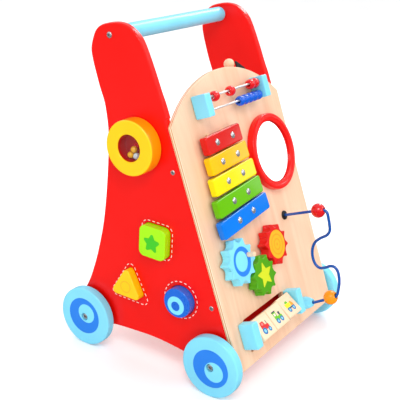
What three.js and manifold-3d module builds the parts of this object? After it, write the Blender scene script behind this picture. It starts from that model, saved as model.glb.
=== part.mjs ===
// Wooden activity baby walker: two red side panels carry a leaning natural-wood
// activity panel, a round push handle and four wooden wheels. The panel holds an
// abacus, a mirror, a xylophone, three meshing gears, a bead maze and three
// turning picture cubes. One side panel holds a spinning rattle drum and three
// shape blocks that push through matching holes. Millimetres, +Z up, the panel
// faces -Y, the handle is at the back (+Y side of the panel).
import * as THREE from 'three';
import { mergeVertices } from 'three/addons/utils/BufferGeometryUtils.js';
import Module from 'manifold-3d';

const wasm = await Module();
wasm.setup();

// ---------------------------------------------------------------- dimensions
const SHIFT_X = 1.93;            // centres the outer box on the origin
const SHIFT_Y = 95.21;
const WIDTH = 280.8;             // over the side panels' outer faces
const SIDE_T = 11.4;             // side panel thickness
const PANEL_T = 8.15;            // activity panel thickness
const LEAN = THREE.MathUtils.degToRad(22.07);  // activity panel's lean from upright
const PANEL_Y = -242.8;          // where the panel's front plane meets the floor plane
const PANEL_BOTTOM = 44.1;       // along the slope
const PANEL_SHOULDER = 391;      // where the arch starts at the sides
const PANEL_TOP = 447;           // arch crown
const GAP = 0.3;                 // gap between touching pieces
const HALF = WIDTH / 2;

const WHEEL_R = 45, WHEEL_T = 15.0, WHEEL_IN = HALF + 3.8;
const AXLE_Z = WHEEL_R, FRONT_Y = -186.7, REAR_Y = 35.9;
const BOLT_R = 3.0, WHEEL_BORE = 3.08;
const LOBE_R = 27;

const HANDLE_Y = 10.7, HANDLE_Z = 466, HANDLE_R = 11;

const DRUM = { y: -42.1, z: 326.7, r: 38.3, h: 22.7, bore: 18.6 };
const SQUARE = { y: -77.5, z: 196.5, w: 44, hgt: 46, r: 9 };
const TRI = { y: -34.5, z: 115.6, side: 55, r: 6 };
const ROUND = { y: -123.0, z: 119.3, r: 21.5 };
const BLOCK_OUT = 12, BLOCK_IN = 3;     // how far a block stands out and in

const ROD_R = 1.5, ROD_H = 13, ROD_S = [414, 396], BEAD_R = 7.4, BEAD_L = 11.8, BEAD_BORE = 3.05, BEAD_SAG = 1.2;
const ABACUS = { s0: 388.8, s1: 420.7, h: 24.5, left: [-86.6, -73.1], right: [66, 79.5] };
const RED_BEADS = [-48.5, -7.5, 47.7, 59.8], BLUE_BEADS = [11.4, 23.5, 35.6, 47.7, 59.8];

const MIRROR = { x: 70.9, s: 306.9, r: 57.7, h: 12, glass: 45.9 };

const BAR_W = 25, BAR_T = 11, BAR_LIFT = 4.3;
const BAR_X = [-54.2, -53.0, -52.0, -51.6, -50.2];
const BAR_LEN = [88.5, 97, 107, 117, 125.5];
const SCREW_X = [[-73.5, -72.6, -71.8, -70.9, -70.1], [-34.0, -33.5, -33.0, -32.6, -32.1]];
const SCREW_S = [[352.9, 325.6, 297.8, 269.2, 240.9], [354.1, 327.3, 299.4, 271.5, 243.8]];

const GEAR_TEETH = 10, GEAR_T = 14, GEAR_LIFT = 2.2, POST_R = 5, POST_TOP = 12;
const GEARS = {
  blue: { x: -91.6, s: 187.9, tip: 33, root: 26, phase: -9.0 },
  green: { x: -46.5, s: 152.2, tip: 29.5, root: 23.6, phase: -13.8 },
  red: { x: 3.0, s: 181.4, tip: 30.4, root: 24.3, phase: -15.2 },
};

const WIRE_R = 2.2, WIRE_X = 67, HOLE_S = 208, MAZE_BEAD_R = 10.8;
const KNOB = { x: 59.5, s: 68.5, r: 9.5, h: 16 };

const CUBE = 33.5, CUBE_W = 35.4, CUBE_PITCH = 36.7, CUBE_X = -48.35;
const CUBE_ROD = { s: 84, h: 5, r: 3 };
const CUBE_TILT = [26, 26.5, 33];
const BRACKET = { s0: 70, s1: 107, h: 24, left: [-119.6, -104.6], right: [8.2, 22.5] };
const SLOT = { x0: -104, x1: 7.6, s0: 60.2, s1: 107.8 };

const RAIL = { upper: [332.8, -19.7], lower: [141.1, -18.6], ds: 24, dh: 20 };
const SLOT_BOARD = { s0: 52, s1: 135, h0: -28.6, h1: -20.4 };
const MALLET = { x: 54.4, s: 448.8, h: -18, ball: 8, stick: 3.2, end: 318 };

// ---------------------------------------------------------------- colours
const paint = (color, roughness = 0.35, metalness = 0) =>
  new THREE.MeshStandardMaterial({ color, roughness, metalness });
const RED = paint(0xe8200c), WOOD = paint(0xf3cda0, 0.55), LIGHT_BLUE = paint(0x6fc8f0);
const BLUE = paint(0x2f86e0), YELLOW = paint(0xffc800), LIME = paint(0xa5e000);
const STEEL = paint(0xc8ccd0, 0.25, 1), BLACK = paint(0x16161a, 0.5), WIRE = paint(0x2c4a96, 0.3);
const ORANGE = paint(0xff9a10), GREEN = paint(0x6cbf10), DARK_GREEN = paint(0x4f9c08);
const BAR_RED = paint(0xe84a50), BAR_YELLOW = paint(0xfff000), BAR_BLUE = paint(0x0878f0);
const GLASS = paint(0xdfe8ee, 0.05, 1), CLEAR = paint(0xeef6fa, 0.05), WHITE = paint(0xe8f4f6);

// ---------------------------------------------------------------- solid helpers
function tidy(geometry) {
  let g = geometry.index ? geometry.toNonIndexed() : geometry.clone();
  g.deleteAttribute('normal');
  g.deleteAttribute('uv');
  g = mergeVertices(g, 1e-4);
  const ix = g.index.array, keep = [];
  for (let i = 0; i < ix.length; i += 3)
    if (ix[i] !== ix[i + 1] && ix[i + 1] !== ix[i + 2] && ix[i] !== ix[i + 2]) keep.push(ix[i], ix[i + 1], ix[i + 2]);
  const p = g.attributes.position, a = new THREE.Vector3(), b = new THREE.Vector3(), c = new THREE.Vector3();
  let volume = 0;
  for (let i = 0; i < keep.length; i += 3) {
    a.fromBufferAttribute(p, keep[i]); b.fromBufferAttribute(p, keep[i + 1]); c.fromBufferAttribute(p, keep[i + 2]);
    volume += a.dot(b.cross(c)) / 6;
  }
  if (volume < 0) for (let i = 0; i < keep.length; i += 3) [keep[i], keep[i + 1]] = [keep[i + 1], keep[i]];
  g.setIndex(keep);
  return g;
}
function solid(geometry) {
  const g = tidy(geometry);
  return new wasm.Manifold(new wasm.Mesh({
    numProp: 3,
    vertProperties: Float32Array.from(g.attributes.position.array),
    triVerts: Uint32Array.from(g.index.array),
  }));
}
function surface(body) {
  const m = body.getMesh(), g = new THREE.BufferGeometry();
  g.setAttribute('position', new THREE.BufferAttribute(Float32Array.from(m.vertProperties), 3));
  g.setIndex(Array.from(m.triVerts));
  g.computeVertexNormals();
  return g;
}
const join = (...list) => surface(list.map(solid).reduce((a, b) => a.add(b)));
const cut = (body, ...tools) => surface(tools.map(solid).reduce((a, b) => a.subtract(b), solid(body)));

// A turned piece about +Z from a profile of [radius, height] pairs.
function turned(profile, segments) {
  const g = new THREE.LatheGeometry(profile.map(([r, z]) => new THREE.Vector2(r, z)), segments);
  g.rotateX(Math.PI / 2);
  return tidy(g);
}
const ring = (profile, segments) => turned([...profile, profile[0]], segments);
function rod(r, z0, z1, segments) {
  return turned([[0, z0], [r, z0], [r, z1], [0, z1]], segments);
}
function block(x0, x1, y0, y1, z0, z1) {
  const g = new THREE.BoxGeometry(x1 - x0, y1 - y0, z1 - z0);
  g.translate((x0 + x1) / 2, (y0 + y1) / 2, (z0 + z1) / 2);
  return g;
}
const alongX = (g) => g.rotateY(Math.PI / 2);            // +Z becomes +X
function plate(shape, z0, z1, bevel = 0) {
  const g = new THREE.ExtrudeGeometry(shape, {
    depth: z1 - z0 - 2 * bevel, curveSegments: 6, steps: 1, bevelEnabled: bevel > 0,
    bevelThickness: bevel, bevelSize: bevel, bevelOffset: -bevel, bevelSegments: 1,
  });
  g.translate(0, 0, z0 + bevel);
  return tidy(g);
}
// A profile drawn in (y, z) and extruded along +X from x0 to x1.
function upright(points, holes, x0, x1) {
  const s = new THREE.Shape(points.map(([y, z]) => new THREE.Vector2(y, z)));
  for (const h of holes) s.holes.push(new THREE.Path(h.map(([y, z]) => new THREE.Vector2(y, z))));
  const g = new THREE.ExtrudeGeometry(s, { depth: x1 - x0, steps: 1, bevelEnabled: false, curveSegments: 1 });
  const p = g.attributes.position;
  for (let i = 0; i < p.count; i++) p.setXYZ(i, p.getZ(i) + x0, p.getX(i), p.getY(i));
  return tidy(g);
}
const circle = (cy, cz, r, n, turn = 0) => Array.from({ length: n }, (_, i) => {
  const a = turn + (i * 2 * Math.PI) / n;
  return [cy + r * Math.cos(a), cz + r * Math.sin(a)];
});
// A polygon with rounded corners; corner radius r, n segments a corner.
function rounded(corners, r, n) {
  const out = [], N = corners.length;
  for (let i = 0; i < N; i++) {
    const [px, py] = corners[(i + N - 1) % N], [cx, cy] = corners[i], [nx, ny] = corners[(i + 1) % N];
    const u = new THREE.Vector2(px - cx, py - cy).normalize(), v = new THREE.Vector2(nx - cx, ny - cy).normalize();
    const half = Math.acos(u.dot(v)) / 2, d = r / Math.tan(half);
    const mid = u.clone().add(v).normalize().multiplyScalar(r / Math.sin(half));
    const ox = cx + mid.x, oy = cy + mid.y;
    const a0 = Math.atan2(cy + u.y * d - oy, cx + u.x * d - ox);
    let a1 = Math.atan2(cy + v.y * d - oy, cx + v.x * d - ox);
    while (a1 - a0 > Math.PI) a1 -= 2 * Math.PI;
    while (a1 - a0 < -Math.PI) a1 += 2 * Math.PI;
    for (let k = 0; k <= n; k++) {
      const a = a0 + ((a1 - a0) * k) / n;
      out.push([ox + r * Math.cos(a), oy + r * Math.sin(a)]);
    }
  }
  return out;
}

// ---------------------------------------------------------------- scene graph
const walker = new THREE.Group();
walker.position.set(SHIFT_X, SHIFT_Y, 0);
// Everything on the activity panel: local x across, y up the slope, z out of the face.
const slope = new THREE.Group();
slope.position.set(0, PANEL_Y, 0);
slope.rotation.x = Math.PI / 2 - LEAN;
walker.add(slope);
function add(parent, name, geometry, material, x = 0, y = 0, z = 0) {
  const m = new THREE.Mesh(geometry, material);
  m.name = name;
  m.position.set(x, y, z);
  parent.add(m);
  return m;
}
const onSlope = (s, h) => [PANEL_Y + s * Math.sin(LEAN) - h * Math.cos(LEAN), s * Math.cos(LEAN) + h * Math.sin(LEAN)];

// ---------------------------------------------------------------- side panels
const BACK = -(PANEL_T + GAP);
const sideOutline = [
  [59.2, 58.5], [55, 70], [50, 83], [43, 98], [37, 115], [31, 135], [25, 160], [20, 185], [17, 205],
  [14.5, 230], [13, 250], [11.5, 280], [11, 300], [11, 320], [12, 340], [16, 363], [20, 377], [27, 393],
  [34, 412], [40, 430], [42.5, 445], [38, 465], [32.5, 472.5], [25, 477], [10, 482.5], [-5, 484], [-20, 481], [-35, 471],
  [-45, 457], [-60, 427], [-70, 405], [-80, 384],
  onSlope(402.4, -6.2), onSlope(401.6, BACK), onSlope(60, BACK),
];
const arc = (cy, cz, r, from, to, n) => Array.from({ length: n + 1 }, (_, i) => {
  const a = THREE.MathUtils.degToRad(from + ((to - from) * i) / n);
  return [cy + r * Math.cos(a), cz + r * Math.sin(a)];
});
sideOutline.push(...arc(FRONT_Y, AXLE_Z, LOBE_R, 170, 340, 8));
sideOutline.push([-150, 37.6], [-130, 40], [-100, 43], [-80, 44], [-60, 43.5], [-20, 40.5], [-3, 38]);
sideOutline.push(...arc(REAR_Y, AXLE_Z, LOBE_R, 200, 390, 8).slice(0, -1));

const screwAt = [onSlope(...RAIL.upper), onSlope(...RAIL.lower), [HANDLE_Y, HANDLE_Z]];
const boltHoles = () => [circle(FRONT_Y, AXLE_Z, 3.45, 12), circle(REAR_Y, AXLE_Z, 3.45, 12),
  ...screwAt.map(([y, z]) => circle(y, z, 2.9, 10))];

const squareOutline = (g) => rounded([
  [SQUARE.y - SQUARE.w / 2 - g, SQUARE.z - SQUARE.hgt / 2 - g], [SQUARE.y + SQUARE.w / 2 + g, SQUARE.z - SQUARE.hgt / 2 - g],
  [SQUARE.y + SQUARE.w / 2 + g, SQUARE.z + SQUARE.hgt / 2 + g], [SQUARE.y - SQUARE.w / 2 - g, SQUARE.z + SQUARE.hgt / 2 + g]], SQUARE.r + g, 4);
function triOutline(g) {
  const R = (TRI.side / Math.sqrt(3)) + 2 * g;
  return rounded([90, 210, 330].map((d) => {
    const a = THREE.MathUtils.degToRad(d);
    return [TRI.y + R * Math.cos(a), TRI.z + R * Math.sin(a)];
  }), TRI.r + g, 4);
}
const roundOutline = (g) => circle(ROUND.y, ROUND.z, ROUND.r + g, 28);
const sorterHoles = [squareOutline(0.35), triOutline(0.35), roundOutline(0.4)];

// The drum turns on a short pin that stands out of the side panel.
const rightPanel = upright(sideOutline, [...boltHoles(), ...sorterHoles], -HALF, -HALF + SIDE_T);
const drumPin = alongX(rod(4, -6, 0, 12));
drumPin.translate(-HALF + 1, DRUM.y, DRUM.z);
add(walker, 'right_side_panel', join(rightPanel, drumPin), RED);
add(walker, 'left_side_panel', upright(sideOutline, boltHoles(), HALF - SIDE_T, HALF), RED);

// ---------------------------------------------------------------- activity panel
const panelShape = new THREE.Shape();
{
  const sag = PANEL_TOP - PANEL_SHOULDER, R = (HALF * HALF + sag * sag) / (2 * sag);
  panelShape.moveTo(-HALF, PANEL_BOTTOM);
  panelShape.lineTo(HALF, PANEL_BOTTOM);
  const n = 22, half = Math.asin(HALF / R);
  for (let i = 0; i <= n; i++) {
    const a = half - (2 * half * i) / n;
    panelShape.lineTo(R * Math.sin(a), PANEL_TOP - R + R * Math.cos(a));
  }
  const slotPath = rounded([[SLOT.x0, SLOT.s0], [SLOT.x1, SLOT.s0], [SLOT.x1, SLOT.s1], [SLOT.x0, SLOT.s1]], 2, 1);
  panelShape.holes.push(new THREE.Path(slotPath.map(([x, y]) => new THREE.Vector2(x, y))));
  panelShape.holes.push(new THREE.Path(circle(WIRE_X, HOLE_S, 5.3, 12).map(([x, y]) => new THREE.Vector2(x, y))));
}
const posts = Object.values(GEARS).map((g) => rod(POST_R, -1, POST_TOP, 16).translate(g.x, g.s, 0));
add(slope, 'front_panel', join(plate(panelShape, -PANEL_T, 0), ...posts), WOOD);

// ---------------------------------------------------------------- handle and cross rails
const IN = HALF - SIDE_T - GAP, OUT = HALF + GAP;
const handleProfile = [[0, -OUT - 2.2], [3.4, -OUT - 1.8], [5, -OUT - 0.6], [5, -OUT], [2.5, -OUT], [2.5, -IN], [HANDLE_R, -IN]];
const handle = alongX(turned([...handleProfile, ...handleProfile.slice().reverse().map(([r, z]) => [r, -z])], 14));
add(walker, 'handle_bar', tidy(handle), LIGHT_BLUE, 0, HANDLE_Y, HANDLE_Z);

for (const [name, [s, h]] of Object.entries({ upper_cross_rail: RAIL.upper, lower_cross_rail: RAIL.lower })) {
  const beam = block(-IN, IN, -RAIL.ds / 2, RAIL.ds / 2, -RAIL.dh / 2, RAIL.dh / 2);
  const pin = [[0, -OUT - 1.7], [2.6, -OUT - 1.4], [3.9, -OUT], [2.4, -OUT], [2.4, -IN + 6], [0, -IN + 6]];
  const pins = [alongX(turned(pin, 10)), alongX(turned(pin.map(([r, z]) => [r, -z]).reverse(), 10))];
  // The lower rail carries a board that closes the back of the picture cubes' slot.
  const board = block(-IN, IN, SLOT_BOARD.s0 - s, SLOT_BOARD.s1 - s, SLOT_BOARD.h0 - h, SLOT_BOARD.h1 - h);
  let g = name === 'lower_cross_rail' ? join(beam, board, ...pins) : join(beam, ...pins);
  if (name === 'upper_cross_rail')
    g = cut(g, rod(3.6, -20, 20, 12).rotateX(Math.PI / 2).translate(MALLET.x, 0, MALLET.h - h));
  add(slope, name, g, name === 'lower_cross_rail' ? RED : WOOD, 0, s, h);
}

// ---------------------------------------------------------------- wheels and their bolts
const wheelProfile = [[WHEEL_BORE, 0], [42.6, 0], [WHEEL_R, 2.4], [WHEEL_R, WHEEL_T - 2.4], [42.6, WHEEL_T], [9, WHEEL_T], [9, WHEEL_T - 4], [WHEEL_BORE, WHEEL_T - 4]];
const wheelSolid = () => ring(wheelProfile, 24);
const Z0 = SIDE_T;                 // bolt profile heights count out from the panel's inner face
const boltProfile = [[0, -4.3], [6, -4.3], [6, -GAP], [BOLT_R, -GAP], [BOLT_R, Z0 + GAP], [7.5, Z0 + GAP], [7.5, Z0 + 3.5], [BOLT_R, Z0 + 3.5],
  [BOLT_R, Z0 + 3.8 + WHEEL_T - 3.7], [7, Z0 + 3.8 + WHEEL_T - 3.7], [7, Z0 + 3.8 + WHEEL_T - 2.5], [4.6, Z0 + 3.8 + WHEEL_T - 2.5], [4.2, Z0 + 3.8 + WHEEL_T - 0.8], [0, Z0 + 3.8 + WHEEL_T - 0.3]];
for (const [end, y] of [['front', FRONT_Y], ['rear', REAR_Y]]) {
  for (const [side, sign] of [['right', -1], ['left', 1]]) {
    const w = alongX(wheelSolid()), b = alongX(turned(boltProfile, 12));
    if (sign < 0) { w.rotateZ(Math.PI); b.rotateZ(Math.PI); }
    add(walker, `${end}_${side}_wheel`, tidy(w), LIGHT_BLUE, sign * WHEEL_IN, y, AXLE_Z);
    add(walker, `${end}_${side}_wheel_bolt`, tidy(b), STEEL, sign * (HALF - SIDE_T), y, AXLE_Z);
  }
}

// ---------------------------------------------------------------- rattle drum and shape blocks
// The drum is a thick ring with a thin back wall; its back wall has the hub hole.
const drumProfile = [[4.08, 1.2], [16, 1.2], [17, 0.4], [36.6, 0.4], [DRUM.r, 2.1], [DRUM.r, DRUM.h - 2.6], [DRUM.r - 2.6, DRUM.h], [DRUM.bore + 1.6, DRUM.h],
  [DRUM.bore, DRUM.h - 1.6], [DRUM.bore, 4.6], [4.08, 4.6]];
const drum = alongX(ring(drumProfile, 24)).rotateZ(Math.PI);
add(walker, 'rattle_drum', tidy(drum), YELLOW, -HALF, DRUM.y, DRUM.z);
add(walker, 'rattle_window', tidy(alongX(rod(DRUM.bore - 0.35, 15.6, 17.2, 24)).rotateZ(Math.PI)), CLEAR, -HALF, DRUM.y, DRUM.z);
const balls = [[-0.4, -3.9, YELLOW], [4.85, -12.5, YELLOW], [-4.95, -12.4, WHITE]];
balls.forEach(([dy, dz, mat], i) => {
  add(walker, `rattle_ball_${i + 1}`, tidy(new THREE.SphereGeometry(4.7, 10, 7)), mat, -HALF - 10.2, DRUM.y + dy, DRUM.z + dz);
});
const shapeBlock = (outline) => {
  const s = new THREE.Shape(outline.map(([y, z]) => new THREE.Vector2(y, z)));
  const x0 = -HALF - BLOCK_OUT, x1 = -HALF + SIDE_T + BLOCK_IN;
  const g = new THREE.ExtrudeGeometry(s, { depth: x1 - x0 - 3, steps: 1, bevelEnabled: true, bevelThickness: 1.5, bevelSize: 1.5, bevelOffset: -1.5, bevelSegments: 1, curveSegments: 1 });
  const p = g.attributes.position;
  for (let i = 0; i < p.count; i++) p.setXYZ(i, p.getZ(i) + x0 + 1.5, p.getX(i), p.getY(i));
  return tidy(g);
};
add(walker, 'square_block', shapeBlock(squareOutline(0)), LIME);
add(walker, 'triangle_block', shapeBlock(triOutline(0)), YELLOW);
add(walker, 'round_block', shapeBlock(roundOutline(0)), BLUE);

// ---------------------------------------------------------------- abacus
for (const side of ['left', 'right']) {
  const [x0, x1] = ABACUS[side], dir = side === 'left' ? 1 : -1;
  const body = block(x0, x1, ABACUS.s0, ABACUS.s1, GAP, ABACUS.h);
  const holes = ROD_S.map((s) => {
    const mouth = side === 'left' ? x1 : x0;
    const g = alongX(rod(1.85, -8, 8, 8));
    return g.translate(mouth, s, ROD_H);
  });
  add(slope, `abacus_block_${side}`, cut(body, ...holes), LIGHT_BLUE);
}
ROD_S.forEach((s, i) => add(slope, `abacus_rod_${i ? 'lower' : 'upper'}`, alongX(rod(ROD_R, ABACUS.left[1] - 7.5, ABACUS.right[0] + 7.5, 8)), STEEL, 0, s, ROD_H));
const beadProfile = [[BEAD_BORE, -BEAD_L / 2], [4.9, -BEAD_L / 2], [BEAD_R, -2.4], [BEAD_R, 2.4], [4.9, BEAD_L / 2], [BEAD_BORE, BEAD_L / 2]];
RED_BEADS.forEach((x, i) => add(slope, `red_bead_${i + 1}`, tidy(alongX(ring(beadProfile, 12))), RED, x, ROD_S[0] - BEAD_SAG, ROD_H - 0.3));
BLUE_BEADS.forEach((x, i) => add(slope, `blue_bead_${i + 1}`, tidy(alongX(ring(beadProfile, 12))), BLUE, x, ROD_S[1] - BEAD_SAG, ROD_H - 0.3));

// ---------------------------------------------------------------- mirror
add(slope, 'mirror_frame', turned([[0, GAP], [MIRROR.r, GAP], [MIRROR.r, 8.4], [MIRROR.r - 3.4, MIRROR.h], [49, MIRROR.h], [46.3, 9.4], [46.3, 4.3], [0, 4.3]], 30), RED, MIRROR.x, MIRROR.s, 0);
add(slope, 'mirror_glass', rod(MIRROR.glass - 0.1, 4.6, 6.6, 30), GLASS, MIRROR.x, MIRROR.s, 0);

// ---------------------------------------------------------------- xylophone
const barNames = ['red', 'orange', 'yellow', 'green', 'blue'];
const barColours = [BAR_RED, ORANGE, BAR_YELLOW, GREEN, BAR_BLUE];
barNames.forEach((name, i) => {
  const L = BAR_LEN[i], bx = BAR_X[i], sl = SCREW_S[0][i], sr = SCREW_S[1][i], xs = [SCREW_X[0][i], SCREW_X[1][i]];
  const tilt = Math.atan2(sr - sl, xs[1] - xs[0]);
  const cs = sl + (bx - xs[0]) * Math.tan(tilt);
  const shape = new THREE.Shape(rounded([[-L / 2, -BAR_W / 2], [L / 2, -BAR_W / 2], [L / 2, BAR_W / 2], [-L / 2, BAR_W / 2]], 3, 2).map(([x, y]) => new THREE.Vector2(x, y)));
  const bar = plate(shape, BAR_LIFT, BAR_LIFT + BAR_T, 1.2);
  const holes = xs.map((x) => rod(2.35, 0, 30, 8).translate((x - bx) / Math.cos(tilt), 0, 0));
  const m = add(slope, `xylophone_bar_${name}`, cut(bar, ...holes), barColours[i], bx, cs, 0);
  m.rotation.z = tilt;
});
SCREW_X.forEach((xs, k) => {
  const x = xs[2], strip = block(-4, 4, 229, 366, GAP, BAR_LIFT - GAP);
  const top = BAR_LIFT + BAR_T + GAP;
  const screws = SCREW_S[k].map((s, i) => turned([[0, 2], [1.8, 2], [1.8, top], [4, top], [3.2, top + 1.4], [0, top + 2.2]], 8).translate(xs[i] - x, s, 0));
  add(slope, `xylophone_rail_${k ? 'right' : 'left'}`, join(strip, ...screws), WOOD, x, 0, 0);
});

// ---------------------------------------------------------------- gears
function gearShape({ tip, root }) {
  const pts = [], step = 360 / GEAR_TEETH;
  for (let i = 0; i < GEAR_TEETH; i++) {
    for (const [d, k] of [[-2.0, 1], [2.0, 1], [6.2, 0.5], [11.4, 0.12], [18, 0], [24.6, 0.12], [29.8, 0.5]]) {
      const a = THREE.MathUtils.degToRad(i * step + d), r = root + (tip - root) * k;
      pts.push(new THREE.Vector2(r * Math.cos(a), r * Math.sin(a)));
    }
  }
  return new THREE.Shape(pts);
}
// The blue gear carries a short turning peg near its rim, given in its own axes.
const PEG = { x: 16.6, s: 7.0, r: 3.5, from: 8, to: 28 };
for (const [name, g] of Object.entries(GEARS)) {
  let wheel = plate(gearShape(g), GEAR_LIFT, GEAR_LIFT + GEAR_T);
  if (name === 'blue') wheel = join(wheel, turned([[0, PEG.from], [PEG.r, PEG.from], [PEG.r, PEG.to - 1], [PEG.r - 1, PEG.to], [0, PEG.to]], 20).translate(PEG.x, PEG.s, 0));
  const bore = rod(POST_R / Math.cos(Math.PI / 16) + 0.05, -5, POST_TOP + GAP, 16);
  const m = add(slope, `${name}_gear`, cut(wheel, bore), { blue: LIGHT_BLUE, green: DARK_GREEN, red: RED }[name], g.x, g.s, 0);
  m.rotation.z = THREE.MathUtils.degToRad(g.phase);
}

// ---------------------------------------------------------------- bead maze
// The lower leg leaves the knob at a slight angle up the slope.
const LEG = 0.165;
const legPoint = (h) => [KNOB.x + 0.009 * h, KNOB.s - 0.6 + LEG * (h - KNOB.h), h];
const wirePoints = [
  [67, 208, -7.6], [67, 208, 10], [67, 208, 30], [67, 208, 50], [67, 208, 62], [67, 207.9, 66.5], [67, 206.4, 70.8], [67, 202.6, 73.2], [66.9, 196, 73.1], [66.7, 185, 72.2], [66.4, 175.6, 70.2],
  [66.2, 169.6, 64], [66, 166, 52], [65.8, 160.5, 41.5], [65.5, 150.6, 34.4], [65.2, 137, 31.6], [64.8, 126, 33.8], [64.4, 120.6, 39.5], [64, 120.6, 49],
  [63.6, 122.2, 58], [63.2, 120.4, 64.6], [62.8, 114, 68.4], [62.2, 104.5, 68.6], [61.5, 94.5, 66.6], [60.9, 86, 63.2], [60.3, 78.6, 59.6], ...[54.5, 46, 36, 22, 9].map(legPoint),
].map(([x, s, h]) => new THREE.Vector3(x, s, h));
const wireCurve = new THREE.CatmullRomCurve3(wirePoints, false, 'centripetal');
const wireSection = new THREE.Shape(circle(0, 0, WIRE_R, 8).map(([a, b]) => new THREE.Vector2(a, b)));
add(slope, 'maze_wire', tidy(new THREE.ExtrudeGeometry(wireSection, { steps: 50, extrudePath: wireCurve, bevelEnabled: false })), WIRE);
add(slope, 'maze_grommet', ring([[2.6, -PANEL_T], [4.9, -PANEL_T], [4.9, GAP], [7.2, GAP], [6.6, 1.6], [2.6, 2.2]], 12), BLACK, WIRE_X, HOLE_S, 0);
add(slope, 'maze_knob', ring([[4.3, GAP], [KNOB.r, GAP], [KNOB.r, 4.5], [7.9, 10], [6.3, 14.4], [5.2, KNOB.h], [4.3, KNOB.h]], 14), LIGHT_BLUE, KNOB.x, KNOB.s, 0);
function mazeBead(hole) {
  const g = new THREE.SphereGeometry(MAZE_BEAD_R, 16, 10).rotateX(Math.PI / 2);
  return cut(g, rod(hole, -20, 20, 12));
}
add(slope, 'maze_bead_red', mazeBead(4.1), RED, WIRE_X, HOLE_S, 59.5);
const [ox, os, oh] = legPoint(47.4);
add(slope, 'maze_bead_orange', mazeBead(5), ORANGE, ox, os + 1.4, oh).rotation.x = -Math.atan(LEG);

// ---------------------------------------------------------------- picture cubes
for (const side of ['left', 'right']) {
  const [x0, x1] = BRACKET[side], mouth = side === 'left' ? x1 : x0;
  const body = plate(new THREE.Shape(rounded([[x0, BRACKET.s0], [x1, BRACKET.s0], [x1, BRACKET.s1], [x0, BRACKET.s1]], 2, 1).map(([a, b]) => new THREE.Vector2(a, b))), GAP, BRACKET.h);
  add(slope, `cube_bracket_${side}`, cut(body, alongX(rod(3.4, -10, 10, 10)).translate(mouth, CUBE_ROD.s, CUBE_ROD.h)), LIGHT_BLUE);
}
add(slope, 'cube_rod', alongX(rod(CUBE_ROD.r, BRACKET.left[1] - 9.5, BRACKET.right[0] + 9.5, 10)), WOOD, 0, CUBE_ROD.s, CUBE_ROD.h);
[0, 1, 2].forEach((i) => {
  const x = CUBE_X + (i - 1) * CUBE_PITCH;
  const body = plate(new THREE.Shape(rounded([[-CUBE / 2, -CUBE / 2], [CUBE / 2, -CUBE / 2], [CUBE / 2, CUBE / 2], [-CUBE / 2, CUBE / 2]], 2.2, 2).map(([a, b]) => new THREE.Vector2(a, b))), -CUBE_W / 2, CUBE_W / 2);
  const g = cut(body, rod(CUBE_ROD.r / Math.cos(Math.PI / 12) + 0.06, -30, 30, 12));
  alongX(g);
  const m = add(slope, `picture_cube_${i + 1}`, tidy(g), WOOD, x, CUBE_ROD.s, CUBE_ROD.h);
  m.rotation.x = -THREE.MathUtils.degToRad(CUBE_TILT[i]);
});

// ---------------------------------------------------------------- mallet and its clip
{
  const clipShape = new THREE.Shape([[44, 424], [80, 424], [80, 437.2], [72, 442.6], [61.5, 450.2], [59.2, 450.6], [59.2, 438], [44, 438]].map(([x, y]) => new THREE.Vector2(x, y)));
  const wing = plate(clipShape, -11, BACK);
  const jaw = block(MALLET.x - 8, MALLET.x + 8, 424, 438, -26, -10);
  const bore = rod(3.6, -40, 40, 12).rotateX(Math.PI / 2).translate(MALLET.x, 431, MALLET.h);
  const clip = surface(solid(join(wing, jaw)).subtract(solid(bore)));
  add(slope, 'mallet_clip', clip, BLACK);
  const r = MALLET.ball, z = Math.sqrt(r * r - MALLET.stick * MALLET.stick);
  const prof = [[0, -(MALLET.s - MALLET.end)], [MALLET.stick, -(MALLET.s - MALLET.end)], [MALLET.stick, -z]];
  for (let i = 1; i <= 6; i++) {
    const a = THREE.MathUtils.lerp(-Math.asin(z / r), Math.PI / 2, i / 6);
    prof.push([i === 6 ? 0 : r * Math.cos(a), r * Math.sin(a)]);
  }
  add(slope, 'mallet', tidy(turned(prof, 14).rotateX(-Math.PI / 2)), WOOD, MALLET.x, MALLET.s, MALLET.h);
}

export default walker;
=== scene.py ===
# Wooden activity baby walker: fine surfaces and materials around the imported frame.
import math
import bpy
import bmesh
from mathutils import Matrix, Vector
from mathutils.geometry import tessellate_polygon


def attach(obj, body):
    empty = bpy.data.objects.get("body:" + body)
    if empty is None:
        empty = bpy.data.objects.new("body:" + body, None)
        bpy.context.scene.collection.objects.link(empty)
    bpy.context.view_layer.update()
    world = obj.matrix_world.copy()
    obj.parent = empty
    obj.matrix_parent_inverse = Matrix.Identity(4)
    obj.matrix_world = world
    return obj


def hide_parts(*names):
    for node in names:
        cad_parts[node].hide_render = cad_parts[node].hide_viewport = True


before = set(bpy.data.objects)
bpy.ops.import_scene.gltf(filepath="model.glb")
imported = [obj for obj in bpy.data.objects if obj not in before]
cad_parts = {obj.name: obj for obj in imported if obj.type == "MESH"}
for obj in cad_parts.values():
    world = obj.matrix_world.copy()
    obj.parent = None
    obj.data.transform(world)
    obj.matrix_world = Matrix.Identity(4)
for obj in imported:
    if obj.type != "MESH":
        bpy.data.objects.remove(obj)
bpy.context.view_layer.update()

# ------------------------------------------------------------------ frames (millimetres in, metres out)
SX, SY = 1.93, 95.21
LEAN = math.radians(22.07)
SL, CL = math.sin(LEAN), math.cos(LEAN)
PY = -242.8


def flat(x, y, z):
    return Vector(((x + SX) / 1000, (y + SY) / 1000, z / 1000))


def slope(x, s, h):
    return flat(x, PY + s * SL - h * CL, s * CL + h * SL)


def side(y, z, x):
    return flat(x, y, z)


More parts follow.
